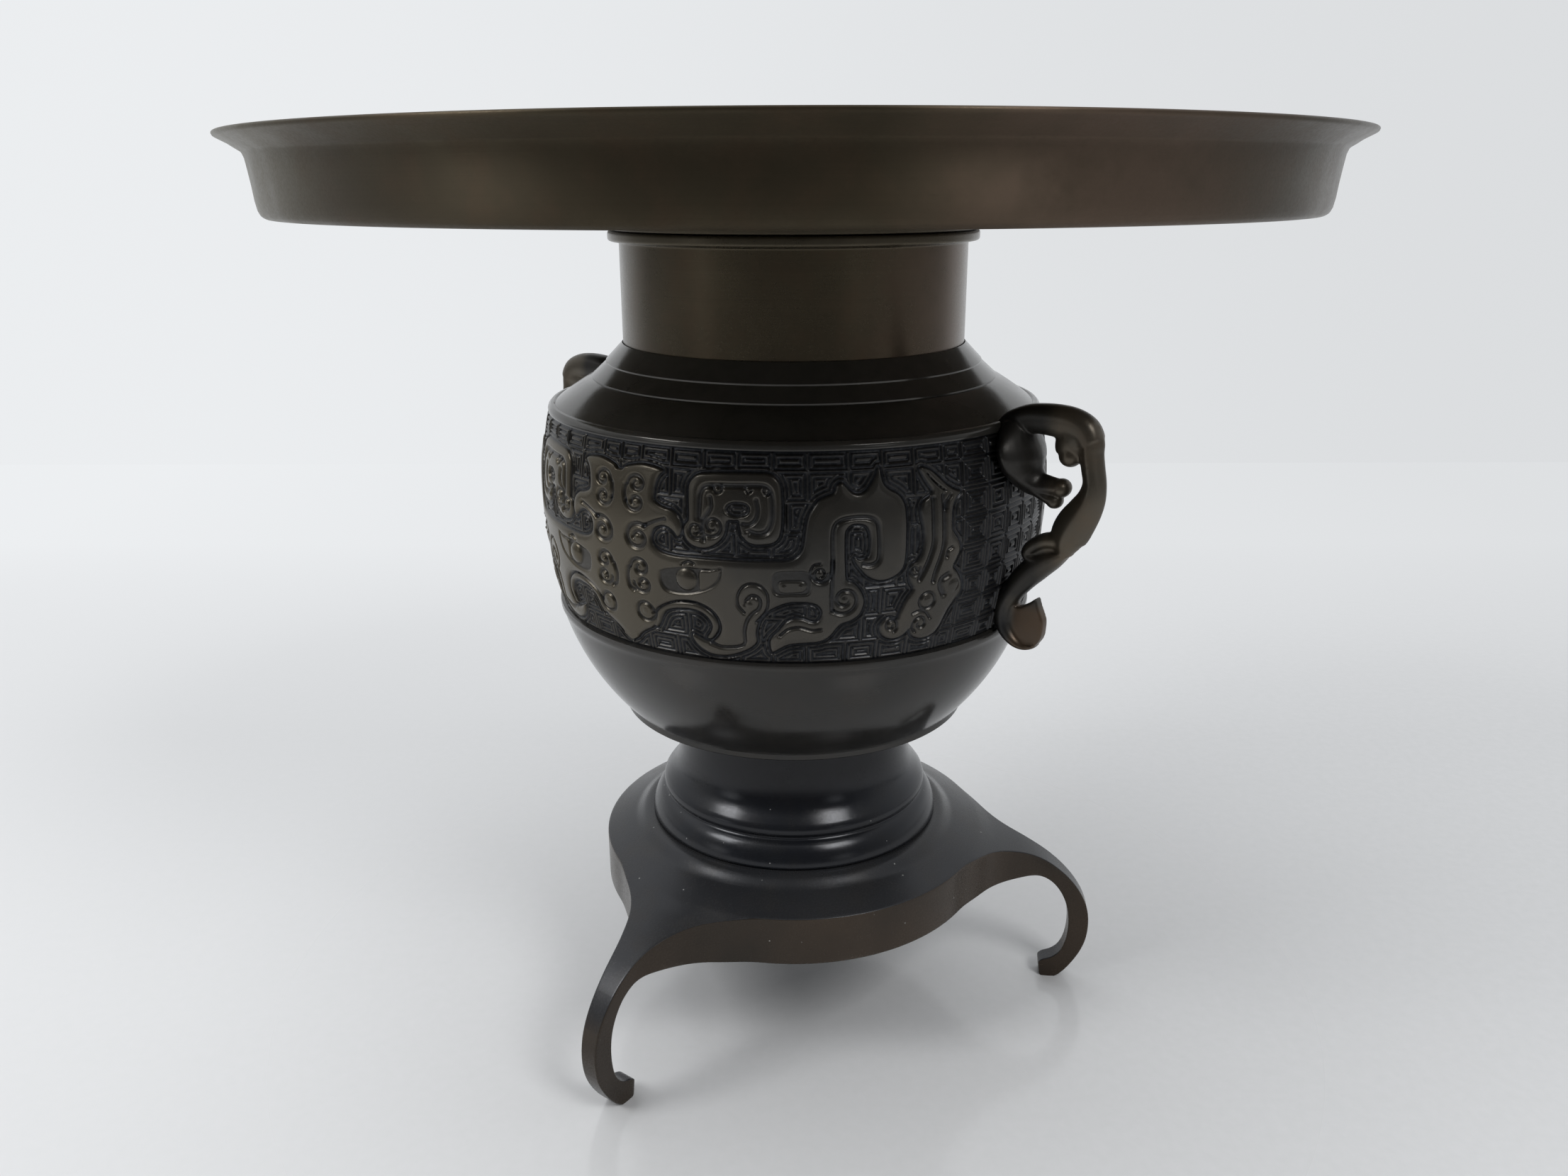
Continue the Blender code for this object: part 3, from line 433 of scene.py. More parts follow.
# Centre, half width, half height, inner share, start and turn in degrees, width of the line
SCROLLS = {
    "s1a": ((4.6, 185.6), 3.1, 2.6, 0.25, 180, 410, 1.4),
    "s1b": ((4.3, 181.0), 3.0, 2.6, 0.25, 180, -410, 1.4),
    "s2": ((4.8, 171.6), 4.3, 3.9, 0.25, -60, -470, 1.7),
    "s3a": ((4.9, 163.3), 3.2, 2.8, 0.25, 180, 410, 1.4),
    "s3b": ((5.3, 158.8), 3.0, 2.6, 0.25, 180, -410, 1.4),
    "nostril": ((5.3, 151.1), 3.1, 2.9, 0.80, 0, 360, 1.2),
    "curl": ((42.1, 165.0), 2.0, 2.1, 0.35, 0, 450, 0.9),
    "coil": ((46.9, 157.6), 4.0, 4.1, 0.24, 130, -470, 1.3),
    "horn_sl": ((18.0, 175.6), 2.2, 2.2, 0.30, 60, 420, 1.0),
    "horn_sr": ((21.3, 176.9), 2.8, 2.8, 0.34, 120, -430, 1.1),
    "drag_b1": ((64.7, 154.9), 2.4, 2.3, 1.00, 0, 360, 1.0),
    "drag_curl": ((61.4, 163.8), 1.6, 1.7, 0.30, -30, 420, 0.9),
    "drag_r1": ((56.9, 149.0), 2.1, 2.1, 0.30, 60, -420, 1.0),
    "drag_r2": ((63.6, 148.4), 2.5, 2.5, 0.30, 120, 420, 1.0),
}
print(len(LINES), "lines and", len(SCROLLS), "scrolls")

# %% Hollows and bosses
HOLLOWS = {
    "eye": [
        (9.5, 163.3), (10.8, 164.4), (12.7, 165.0), (15.4, 165.6), (18.4, 165.7), (21.3, 165.8),
        (23.1, 166.4), (23.2, 164.9), (22.8, 162.9), (21.7, 160.9), (20.0, 159.5), (17.9, 158.4),
        (15.4, 157.6), (12.5, 157.5), (10.5, 158.3), (9.5, 160.5)],
    "eye_leaf": [
        (18.5, 164.8), (20.5, 165.2), (22.8, 165.9), (22.6, 164.1), (21.9, 162.1), (20.4, 160.3),
        (18.4, 159.3), (18.2, 162.0)],
    "oval": [
        (23.8, 181.5), (24.4, 182.8), (25.4, 183.4), (26.8, 183.5), (28.1, 183.1), (28.8, 181.8),
        (28.4, 180.4), (27.2, 179.6), (25.6, 179.5), (24.4, 180.2)],
    "tab_out": [
        (33.0, 164.8), (34.1, 165.8), (37.0, 166.0), (39.5, 165.8), (40.3, 164.4), (40.4, 162.1),
        (40.0, 159.8), (38.9, 159.2), (36.4, 159.2), (34.0, 159.2), (33.0, 160.4), (32.7, 162.7)],
    "tab_in": [
        (34.2, 162.5), (34.9, 163.0), (37.0, 163.1), (38.8, 162.9), (39.5, 161.8), (38.9, 160.4),
        (37.0, 160.0), (34.9, 160.0), (34.2, 160.8)],
}
# Centre, radius and rise of round bosses
BOSSES = {
    "ball": (15.5, 162.0, 3.2, 0.60),
    "dot1": (35.1, 161.6, 0.8, 0.30),
    "dot2": (38.4, 161.8, 0.8, 0.30),
    "curl_end": (28.5, 156.2, 1.6, 0.20),
    "hook_end": (42.1, 165.0, 0.9, 0.15),
    "coil": (46.9, 157.6, 1.3, 0.35),
    "tail": (27.8, 175.4, 1.2, 0.15),
    "b1": (64.7, 154.9, 1.8, 0.35),
    "b2": (70.8, 157.8, 2.6, 0.45),
    "nostril": (5.3, 151.1, 1.7, 0.20),
    "horn_l": (18.0, 175.6, 0.8, 0.15),
    "horn_r": (21.3, 176.9, 1.1, 0.25),
    "s1a": (4.6, 185.6, 0.8, 0.15),
    "s1b": (4.3, 181.0, 0.8, 0.15),
    "s2": (4.8, 171.6, 1.2, 0.20),
    "s3a": (4.9, 163.3, 0.8, 0.20),
    "s3b": (5.3, 158.8, 0.8, 0.20),
}
print(len(HOLLOWS), "hollows and", len(BOSSES), "bosses")

# %% The unrolled band as a grid of points
PER_DEGREE = math.radians(75.5)     # millimetres along the girth in one degree
COLUMNS, ROWS = 440, 216            # points of one panel along the girth and up the band
FAR = 1000.0                        # stands for a distance that is out of reach

girth = np.linspace(0.0, 90.0, COLUMNS)
height = np.linspace(BAND_LOW - 0.1, BAND_TOP - 0.1, ROWS)
ACROSS, UP = np.meshgrid(girth * PER_DEGREE, height)
print("one step is %.2f mm" % (girth[1] * PER_DEGREE))


# %% Smooth lines and scrolls on the band
def unrolled(line):
    """Points in millimetres on the unrolled band."""
    return np.array([(d * PER_DEGREE, z) for d, z in line])


def through(a, b, c, d, t):
    """A place on the smooth curve from b to c, with a before and d after; t runs from 0 to 1."""
    return 0.5 * (2 * b + (c - a) * t + (2 * a - 5 * b + 4 * c - d) * t * t
                  + (3 * b - a - 3 * c + d) * t ** 3)


def flowing(line, closed, steps=5):
    """A smooth line through the given points."""
    p = unrolled(line)
    q = [p[-1:], p, p[:2]] if closed else [2 * p[:1] - p[1:2], p, 2 * p[-1:] - p[-2:-1]]
    q = np.vstack(q)
    out = []
    for a, b, c, d in zip(q, q[1:], q[2:], q[3:]):
        for t in np.arange(steps) / steps:
            out.append(through(a, b, c, d, t))
    return np.array(out if closed else out + [p[-1]])


def scroll_line(centre, wide, high, inner, start, sweep):
    """A spiral that winds in; a positive sweep runs clockwise."""
    t = np.linspace(0.0, 1.0, max(9, int(abs(sweep) / 12)))
    size = 1.0 + (inner - 1.0) * t
    turn = np.radians(start + sweep * t)
    return np.stack([centre[0] * PER_DEGREE + wide * size * np.cos(turn),
                     centre[1] - high * size * np.sin(turn)], 1)


print("the face has", len(flowing(FIGURES["face"], True)), "points")


# %% How far each point of the band lies from a line, and on which side of it
def distance(line, reach, closed=False):
    """Distance in millimetres from every point of the band to a line, up to a reach."""
    ends = np.vstack([line, line[:1]]) if closed else line
    found = np.full(ACROSS.shape, FAR)
    for a, b in zip(ends[:-1], ends[1:]):
        low, high = np.minimum(a, b) - reach, np.maximum(a, b) + reach
        i0, i1 = np.searchsorted(ACROSS[0], (low[0], high[0]))
        j0, j1 = np.searchsorted(UP[:, 0], (low[1], high[1]))
        if i1 <= i0 or j1 <= j0:
            continue
        x, y = ACROSS[j0:j1, i0:i1], UP[j0:j1, i0:i1]
        e = b - a
        t = np.clip(((x - a[0]) * e[0] + (y - a[1]) * e[1]) / max(e @ e, 1e-12), 0.0, 1.0)
        near = np.hypot(x - a[0] - t * e[0], y - a[1] - t * e[1])
        found[j0:j1, i0:i1] = np.minimum(found[j0:j1, i0:i1], near)
    return found


def inside(line):
    """Which points of the band lie inside a closed line."""
    found = np.zeros(ACROSS.shape, bool)
    for a, b in zip(line, np.roll(line, -1, 0)):
        if a[1] != b[1]:
            crosses = (a[1] > UP) != (b[1] > UP)
            found ^= crosses & (ACROSS < a[0] + (UP - a[1]) * (b[0] - a[0]) / (b[1] - a[1]))
    return found


def ramp(x, a, b):
    """0 below a, 1 above b, and a smooth rise between them."""
    t = np.clip((x - a) / (b - a), 0.0, 1.0)
    return t * t * (3.0 - 2.0 * t)


# %% [markdown]
# ### The ground and the figures
#
# The ground is filled cell by cell with nested thin ridges. Where a figure cuts a cell, the ridges
# follow the figure instead, which is how the old patterns close up round a shape. A narrow moat
# sets each figure off, and the figures then rise to one worn level.

# %% Raise the figures from the ground
GROUND = -1.05          # height of the ground, down from the worn tops
EDGE_START, EDGE_END = -0.34, 0.26      # where a figure's edge begins and ends to rise
CROWN_HIGH, CROWN_WIDE = 0.36, 2.1
FIGURE_REACH = 14.0
NOSE_LOW, NOSE_HIGH, NOSE_HALF = 143.5, 188.5, 1.3


def rounded(depth):
    """Height of a figure at a depth inside its outline: a steep edge, then a crowned top."""
    crown = -CROWN_HIGH * (1.0 - np.clip(depth / CROWN_WIDE, 0.0, 1.0)) ** 2
    return GROUND + (crown - GROUND) * ramp(depth, EDGE_START, EDGE_END)


relief = np.full(ACROSS.shape, GROUND)
to_figure = np.full(ACROSS.shape, FAR)
for name, outline in FIGURES.items():
    line = flowing(outline, True)
    away, within = distance(line, FIGURE_REACH, True), inside(line)
    if name == "face":
        # The two halves of the face are one plate across the nose line
        within |= (ACROSS < NOSE_HALF) & (UP > NOSE_LOW) & (UP < NOSE_HIGH)
        away = np.where((ACROSS < 2.0 * NOSE_HALF) & within, np.maximum(away, 1.2), away)
    depth = np.where(within, away, -away)
    to_figure = np.minimum(to_figure, np.maximum(-depth, 0.0))
    relief = np.maximum(relief, rounded(depth))
print("figures cover %.0f%% of the band" % (100.0 * (to_figure == 0.0).mean()))

# %% Fill the ground with cells of nested ridges
MOAT = 0.95
RIDGE_HIGH = 0.5
RIDGE_PITCH, COARSE_PITCH = 1.12, 1.45
PARTED, COARSE = 72.7, 80.3     # degrees from which grooves part the cells, and ridges are coarser
CELL_EDGES = [0, 5.2, 12.2, 19.1, 26.0, 32.8, 39.6, 47.6, 54.4, 61.2, 68]
LAST_EDGES = [PARTED, COARSE, 86.6, 92.7]
BEFORE_FIRST, LAST_SHIFTED = -3.8, 70.0     # a shifted row has an edge before, and ends earlier
# Lower and upper edge of each row, and how far its cells are shifted sideways in degrees
ROWS_OF_CELLS = [(138.9, 145.3, 0.0), (145.3, 152.6, 3.1), (152.6, 160.2, 0.0),
                 (160.2, 168.0, 3.1), (168.0, 175.8, 0.0), (175.8, 183.6, 3.1),
                 (183.6, 191.1, 0.0), (191.1, 195.9, 0.0)]

to_border = np.full(ACROSS.shape, FAR)
for low, high, shift in ROWS_OF_CELLS:
    shifted = [e + shift for e in CELL_EDGES if e + shift < LAST_SHIFTED]
    edges = np.array([BEFORE_FIRST] * (shift > 0.0) + shifted + LAST_EDGES) * PER_DEGREE
    i = np.clip(np.searchsorted(edges, ACROSS, side="right") - 1, 0, len(edges) - 2)
    sideways = np.minimum(ACROSS - edges[i], edges[i + 1] - ACROSS)
    near = np.minimum(sideways, np.minimum(UP - low, high - UP))
    to_border = np.where((UP >= low) & (UP < high), near, to_border)
past_moat = to_figure - MOAT
nested = np.minimum(past_moat, to_border)
pitch = np.where(ACROSS < COARSE * PER_DEGREE, RIDGE_PITCH, COARSE_PITCH)
turns = nested / pitch - np.where(ACROSS < PARTED * PER_DEGREE, 0.0, 0.5)
thin = np.clip((0.25 + 0.5 * np.cos(2.0 * np.pi * turns)) / 0.6, 0.0, 1.0) * (nested > -0.35)
pattern = GROUND + RIDGE_HIGH * thin * ramp(past_moat, -0.45, 0.0)
margin = np.minimum(UP - BAND_LOW, BAND_TOP - UP)
relief = np.maximum(relief, np.where(margin < 0.5, GROUND, pattern))
print(len(ROWS_OF_CELLS), "rows of cells")

# %% [markdown]
# ### Carving the figures
#
# The founder's wax was carved before it was cast: eye, tab and oval are sunk, curls and grooves
# are cut with a round tool, and small balls stand up in them. A brush in sculpt mode would do, but
# a height worked out from the distance to a line is even and can be repeated.

# %% Hollows on the figures, and what rises in them
EYE_DEEP, TAB_DEEP, OVAL_DEEP = 0.62, 0.5, 0.85
HOLLOW_REACH = 4.0


def hollow(name):
    """Depth inside a hollow's outline in millimetres, and below 0 outside it."""
    line = flowing(HOLLOWS[name], True)
    away = distance(line, HOLLOW_REACH, True)
    return np.where(inside(line), np.minimum(away, HOLLOW_REACH), -away)


def sink(depth, start, floor):
    """The relief is cut down to a floor wherever the depth is past the start."""
    return np.where(depth > start, np.minimum(relief, floor), relief)


def lift(depth, start, top):
    """The relief is raised to a top wherever the depth is past the start."""
    return np.where(depth > start, np.maximum(relief, top), relief)


eye = hollow("eye")
relief = sink(eye, -0.4, -0.02 - EYE_DEEP * ramp(eye, -0.15, 0.7))
lid = hollow("eye_leaf")
relief = lift(lid, -0.3, 0.55 * ramp(lid, -0.1, 0.5) - EYE_DEEP)
oval = hollow("oval")
rings = 0.4 * ramp(np.cos(2.0 * np.pi * (oval - 0.25) / 0.8), 0.0, 0.8) * ramp(oval, 0.3, 0.5)
relief = sink(oval, -0.2, rings - OVAL_DEEP * ramp(oval, -0.2, 0.3))
tab = hollow("tab_out")
relief = sink(tab, -0.3, -TAB_DEEP * ramp(tab, -0.2, 0.35))
tab_top = hollow("tab_in")
relief = lift(tab_top, -0.3, 0.45 * ramp(tab_top, -0.2, 0.3) - TAB_DEEP)
print("the eye is %.2f mm deep" % EYE_DEEP)


# %% Engraved lines and round bosses
GROOVE_DEEP, SIDE_DIP, SIDE_REACH = 0.55, 0.17, 1.1
BOSS_FOOT = 0.9         # how far below the worn tops a boss begins


def engrave(line, width):
    """A groove with a soft dip beside it, never deeper than the ground."""
    global relief
    reach = 0.5 * width + SIDE_REACH
    away = distance(line, reach)
    cut = GROOVE_DEEP * (1.0 - ramp(away, 0.12 * width, 0.62 * width))
    cut += SIDE_DIP * (1.0 - np.clip(away / reach, 0.0, 1.0)) ** 2
    lowest = np.minimum(relief, GROUND)
    relief = np.where(away < reach, np.maximum(relief - cut, lowest), relief)


for width, line in LINES.values():
    engrave(flowing(line, False), width)
for centre, wide, high, inner, start, sweep, width in SCROLLS.values():
    engrave(scroll_line(centre, wide, high, inner, start, sweep), width)

for centre, height_of_centre, radius, rise in BOSSES.values():
    away = np.hypot(ACROSS - centre * PER_DEGREE, UP - height_of_centre)
    cap = np.sqrt(np.clip(1.0 - (away / radius) ** 2, 0.0, None))
    boss = (rise + BOSS_FOOT) * cap - BOSS_FOOT
    relief = np.where(away < radius, np.maximum(relief, boss), relief)
print("relief from %.2f to %.2f mm" % (relief.min(), relief.max()))

# %% [markdown]
# ### Panels
#
# A panel covers a quarter of the girth, from nose line to handle line. It starts as a grid. Its
# columns run up the face of the relief and down again behind it, inside the urn's wall, so that
# joining the first and last rows and filling the two ends makes a closed solid. The mirrored
# heights meet exactly at both ends, so no seam shows.

# %% Shape four panels
TOPS = 0.9              # the worn tops stand this far out from the band's curve
BACK = -1.3             # and the back of a panel lies this far in
BEHIND = [195.6, 177.0, 158.0, 139.4]


def places(piece):
    """The places of a piece's points, one row each."""
    flat = np.zeros(len(piece.data.vertices) * 3)
    piece.data.vertices.foreach_get("co", flat)
    return flat.reshape(-1, 3)


def relief_panel(name, start, way):
    """A closed panel from the nose line at `start` degrees, running `way` (+1 or -1) round."""
    deselect()
    rows = ROWS + len(BEHIND) + 1
    bpy.ops.mesh.primitive_grid_add(x_subdivisions=COLUMNS - 1, y_subdivisions=rows - 1, size=1.0)
    piece = named(name)
    flat = places(piece)
    column = np.rint((flat[:, 0] + 0.5) * (COLUMNS - 1)).astype(int)
    row = np.rint((flat[:, 1] + 0.5) * (rows - 1)).astype(int)
    z = np.concatenate([height, BEHIND, height[:1]])
    radius = np.zeros((rows, COLUMNS))
    radius[:ROWS] = band_radius(height)[:, None] + TOPS + relief
    radius[ROWS:-1] = band_radius(BEHIND)[:, None] + BACK
    radius[-1] = radius[0]
    azimuth = np.radians(start + way * girth)[column]
    r = radius[row, column]
    shaped = np.stack([r * np.cos(azimuth), r * np.sin(azimuth), z[row]], 1) * MM
    piece.data.vertices.foreach_set("co", shaped.ravel())
    bpy.ops.object.mode_set(mode="EDIT")
    bpy.ops.mesh.select_all(action="SELECT")
    bpy.ops.mesh.remove_doubles(threshold=WELD)
    bpy.ops.mesh.fill_holes(sides=0)
    face_outwards()
    bpy.ops.object.shade_smooth_by_angle(angle=math.radians(80.0))
    # Each point keeps its own height over the curve, for the finish to read
    level = piece.data.attributes.new("level", "FLOAT", "POINT")
    where = places(piece) / MM
    over = np.hypot(where[:, 0], where[:, 1]) - band_radius(where[:, 2])
    level.data.foreach_set("value", over - TOPS)
    print(name, "has", len(piece.data.polygons), "faces")
    return piece


panels = [relief_panel("relief_front_right", MASK_DEG, 1.0),
          relief_panel("relief_front_left", MASK_DEG, -1.0),
          relief_panel("relief_back_right", MASK_DEG + 180.0, 1.0),
          relief_panel("relief_back_left", MASK_DEG + 180.0, -1.0)]

# %% [markdown]
# ## The stand
#
# The stand is one casting: a low dome with an upright edge, whose three legs run out from the edge
# in a smooth sweep and curl down to small feet turned inwards. By hand, the dome is turned, the
# faces of its edge are extruded into each leg section by section, and a subdivision surface
# rounds the whole. Pairs of close edge loops keep the worn edges of the casting tight.

# %% Extrude a patch of faces from one set of places to the next
def extrude_to(piece, old, new):
    """The selected faces are extruded, and each new point moves from its old to its new place."""
    bpy.ops.mesh.extrude_region_move()
    net = bmesh.from_edit_mesh(piece.data)
    for point in net.verts:
        if point.select:
            gaps = ((old - np.array(point.co)) ** 2).sum(1)
            point.co = new[int(np.argmin(gaps))]
    bmesh.update_edit_mesh(piece.data)


# %% The lines of one leg, along +X
LEG_DEG = -6.0          # the first leg's direction, in the finished stand
EDGE_R, EDGE_LOW, CREASE = 62.5, 40.0, 0.7
ROOT_DEG = 25           # a leg grows from the edge as far as this to both sides
TOP_LINE = ((0.0, STAND_TOP), (48.0, STAND_TOP), (50.0, 61.5), (51.5, 60.4), (53.0, 59.3),
            (57.5, 57.4), (62.5, 55.2), (67.0, 52.9), (73.0, 50.7), (79.0, 48.7), (84.0, 46.0),
            (88.0, 43.0), (92.0, 39.3))
# Half width of the first two sections, and how far out their points lie, from the side inwards
LEG_ROOT = [(20.2, [61.2, 61.5, 62.5, 63.4, 63.9, 64.1]),
            (15.4, [64.4, 64.6, 65.2, 65.8, 66.1, 66.2])]
# Top place, bottom place and half width of each section beyond them; None follows TOP_LINE
LEG_SECTIONS = [(68.2, None, 68.4, 39.8, 11.3), (72.3, None, 72.5, 39.8, 8.5),
                (77.0, None, 77.0, 40.0, 6.4), (81.0, None, 80.5, 40.1, 5.0),
                (85.2, 45.2, 83.6, 39.5, 4.2), (88.8, 42.4, 86.2, 37.9, 3.8),
                (92.2, 39.3, 88.4, 35.8, 3.4), (95.7, 35.0, 90.6, 32.6, 3.2),
                (98.5, 30.0, 92.2, 29.0, 3.0), (99.9, 25.0, 93.2, 25.0, 2.9),
                (100.2, 20.0, 93.6, 20.0, 2.9), (99.7, 15.0, 93.2, 15.2, 2.9),
                (98.2, 10.5, 92.2, 11.5, 2.9), (95.7, 6.0, 90.7, 9.0, 2.9),
                (92.8, 1.9, 88.8, 7.5, 2.9), (90.0, -0.5, 87.2, 6.9, 2.9),
                (87.3, -0.7, 85.8, 6.5, 2.9), (85.0, -0.1, 84.4, 5.3, 2.8)]
print("a leg has", len(LEG_ROOT) + len(LEG_SECTIONS), "sections")


# %% The points of one section
def stand_top(radius):
    """Height of the stand's upper face at a radius."""
    radii, heights = zip(*TOP_LINE)
    return float(np.interp(radius, radii, heights))


def across_leg(half):
    """Places of the eleven points across a leg; the outer pairs lie close, for a tight edge."""
    inner = half - min(CREASE, 0.32 * half)     # a narrow leg has a narrower pair
    side = [0.0, 0.25 * inner, 0.5 * inner, 0.75 * inner, inner, half]
    return [-y for y in reversed(side[1:])] + side


def leg_section(top_x, top_z, low_x, low_z, ys, xs=None):
    """Four rows of points from the upper face of a leg down to its lower face."""
    rows = []
    for k, y in enumerate(ys):
        x = xs[k] if xs else top_x
        z = stand_top(math.hypot(x, y)) if top_z is None else top_z
        a, b = Vector((x, y, z)), Vector((xs[k] if xs else low_x, y, low_z))
        step = (b - a).normalized() * CREASE
        rows.append([a, a + step, b - step, b])
    return np.array([[tuple(p) for p in column] for column in rows]).reshape(-1, 3) * MM


print("half a section's width of 5 mm is shared out as", across_leg(5.0)[5:])

# %% Turn the dome, then extrude the legs
DOME = [(0.0, STAND_TOP), (20.0, STAND_TOP), (40.0, STAND_TOP), (47.0, STAND_TOP),
        (48.3, STAND_TOP), (49.4, 61.75), (50.2, 61.3), (51.1, 60.5), (52.1, 59.6), (53.0, 58.95),
        (54.2, 58.55), (57.5, 57.3), (EDGE_R - CREASE, stand_top(EDGE_R - CREASE)),
        (EDGE_R, stand_top(EDGE_R)), (EDGE_R, stand_top(EDGE_R) - CREASE),
        (EDGE_R, EDGE_LOW + CREASE), (EDGE_R, EDGE_LOW), (EDGE_R - CREASE, EDGE_LOW),
        (56.7, EDGE_LOW), (55.6, EDGE_LOW), (55.4, EDGE_LOW + 1.2), (54.2, 50.5), (52.0, 54.6),
        (44.0, 57.3), (20.0, 57.5), (0.0, 57.5)]
stand = turned("stand_cast", DOME, sides=72)
for leg in range(3):
    around = math.radians(120.0 * leg)
    spin = np.array(Matrix.Rotation(around, 3, "Z"))
    pick(stand)
    bpy.ops.object.mode_set(mode="EDIT")
    bpy.ops.mesh.select_mode(type="FACE")
    bpy.ops.mesh.select_all(action="DESELECT")
    net = bmesh.from_edit_mesh(stand.data)
    for face in net.faces:
        place = Matrix.Rotation(-around, 3, "Z") @ face.calc_center_median() / MM
        on_edge = (EDGE_LOW < place.z < stand_top(EDGE_R)
                   and math.hypot(place.x, place.y) > EDGE_R - 0.5)
        aside = abs(math.degrees(math.atan2(place.y, place.x)))
        face.select = on_edge and place.x > 0.0 and aside < ROOT_DEG
    net.select_flush_mode()
    bmesh.update_edit_mesh(stand.data)
    angles = [math.radians(a) for a in range(-ROOT_DEG, ROOT_DEG + 1, 5)]
    here = leg_section(0, None, 0, EDGE_LOW, [EDGE_R * math.sin(a) for a in angles],
                       [EDGE_R * math.cos(a) for a in angles])
    steps = [leg_section(0, None, 0, EDGE_LOW - 0.1, across_leg(half), xs + xs[-2::-1])
             for half, xs in LEG_ROOT]
    steps += [leg_section(a, b, c, d, across_leg(w)) for a, b, c, d, w in LEG_SECTIONS]
    for there in steps:
        extrude_to(stand, here @ spin.T, there @ spin.T)
        here = there
    bpy.ops.object.mode_set(mode="OBJECT")
print("stand has", len(stand.data.polygons), "faces before it is rounded")

# %% Round the stand, turn it into place and grind its feet flat
pick(stand)
rounding = stand.modifiers.new("rounding", "SUBSURF")
rounding.levels = rounding.render_levels = 2
bpy.ops.object.modifier_apply(modifier=rounding.name)
stand.rotation_euler.z = math.radians(LEG_DEG)
bpy.ops.object.transform_apply(location=False, rotation=True, scale=False)
bpy.ops.object.mode_set(mode="EDIT")
bpy.ops.mesh.select_all(action="SELECT")
bpy.ops.mesh.bisect(plane_co=(0.0, 0.0, 0.0), plane_no=(0.0, 0.0, -1.0), use_fill=True,
                    clear_outer=True)
bpy.ops.object.mode_set(mode="OBJECT")
bpy.ops.object.shade_smooth_by_angle(angle=math.radians(35.0))
print("stand has", len(stand.data.polygons), "faces")

# %% [markdown]
# ## The handles
#
# Each handle is an old beast bent into a scroll: a limb arches out of the shoulder and turns down,
# a broad head with a ridge hangs from it against the urn, and the limb folds back under a small
# curl and ends in a spade-shaped leaf. The limbs are circles extruded along smooth lines, round
# or ridged in section. The leaf is a flat plate: its outline is extruded point by point, filled,
# given its width and bevelled. All are then joined and remeshed, so they melt into one another as
# in the wax that the founder carved.

# %% Lines of the right handle
# Radius, height, half thickness and half width across, in millimetres
ARCH = [(71.0, 194.6, 3.0, 3.9), (74.4, 197.4, 3.9, 4.2), (78.6, 199.3, 3.9, 4.3),
        (82.8, 199.7, 4.1, 4.3), (87.0, 199.6, 4.3, 4.3), (91.0, 199.2, 4.2, 4.2),
        (94.4, 197.6, 4.1, 4.1), (96.3, 194.8, 3.6, 4.1)]
LIMB = [(94.8, 197.6, 4.0, 4.0), (96.3, 194.8, 3.6, 4.1), (96.6, 192.0, 3.3, 4.1),
        (97.3, 188.2, 3.2, 4.0), (98.0, 184.4, 3.2, 4.0), (97.5, 180.4, 3.9, 4.2),
        (95.9, 176.7, 4.7, 4.3), (93.3, 172.2, 5.4, 4.4), (91.6, 168.4, 5.0, 4.2),
        (91.5, 165.2, 3.3, 3.5), (92.0, 163.3, 1.3, 2.4)]
NUB = [(95.6, 195.6, 4.2, 3.8), (92.6, 195.2, 4.7, 3.7), (90.6, 194.0, 4.2, 3.5),
       (90.4, 191.6, 3.6, 3.3)]
HEAD = [(74.6, 199.0, 3.9, 5.4), (75.2, 196.0, 4.7, 9.2), (76.0, 193.0, 5.2, 11.6),
        (76.9, 189.8, 5.8, 12.0), (77.7, 186.6, 5.7, 10.2), (79.6, 183.7, 4.8, 6.4),
        (82.5, 182.0, 3.7, 4.3), (85.6, 181.9, 2.9, 3.6), (88.4, 181.9, 2.4, 3.2)]
CHIN = [(79.0, 183.6, 3.4, 5.0), (82.4, 180.9, 2.4, 4.0), (85.0, 179.2, 1.9, 3.3),
        (87.2, 178.2, 1.9, 3.0)]
CURL = [(89.8, 167.5, 2.1, 3.6), (85.8, 167.0, 2.1, 3.7), (82.6, 165.2, 2.1, 3.8),
        (80.9, 163.0, 1.9, 3.8), (82.4, 161.6, 1.4, 3.7), (86.4, 161.8, 1.2, 3.5),
        (90.2, 163.2, 1.0, 3.2)]
LOWER = [(91.0, 164.0, 1.6, 3.4), (87.9, 161.8, 2.7, 3.9), (83.5, 158.9, 3.7, 4.1),
         (80.0, 155.4, 3.6, 4.1), (76.9, 151.2, 3.2, 4.1), (74.9, 147.6, 3.1, 4.1),
         (74.2, 144.6, 3.0, 4.0), (74.6, 141.4, 2.5, 3.8), (76.3, 138.4, 2.1, 3.5),
         (79.0, 136.2, 1.6, 3.1), (82.0, 135.6, 1.0, 2.8), (84.6, 136.4, 0.6, 2.5)]
# Outlines of the leaf, and of the wedge that closes the curl
LEAF = [(76.0, 146.2), (74.8, 142.5), (76.0, 138.5), (78.4, 135.9), (80.5, 134.9), (82.5, 135.2),
        (84.6, 136.4), (86.1, 138.5), (86.6, 140.8), (86.7, 143.7), (85.9, 145.9), (84.9, 148.2),
        (84.1, 150.1), (82.2, 148.6), (79.4, 146.9)]
INNER = [(90.0, 168.0), (84.0, 167.0), (81.5, 163.5), (84.0, 160.5), (90.5, 162.5)]
print("the limb passes through", len(LIMB), "points")


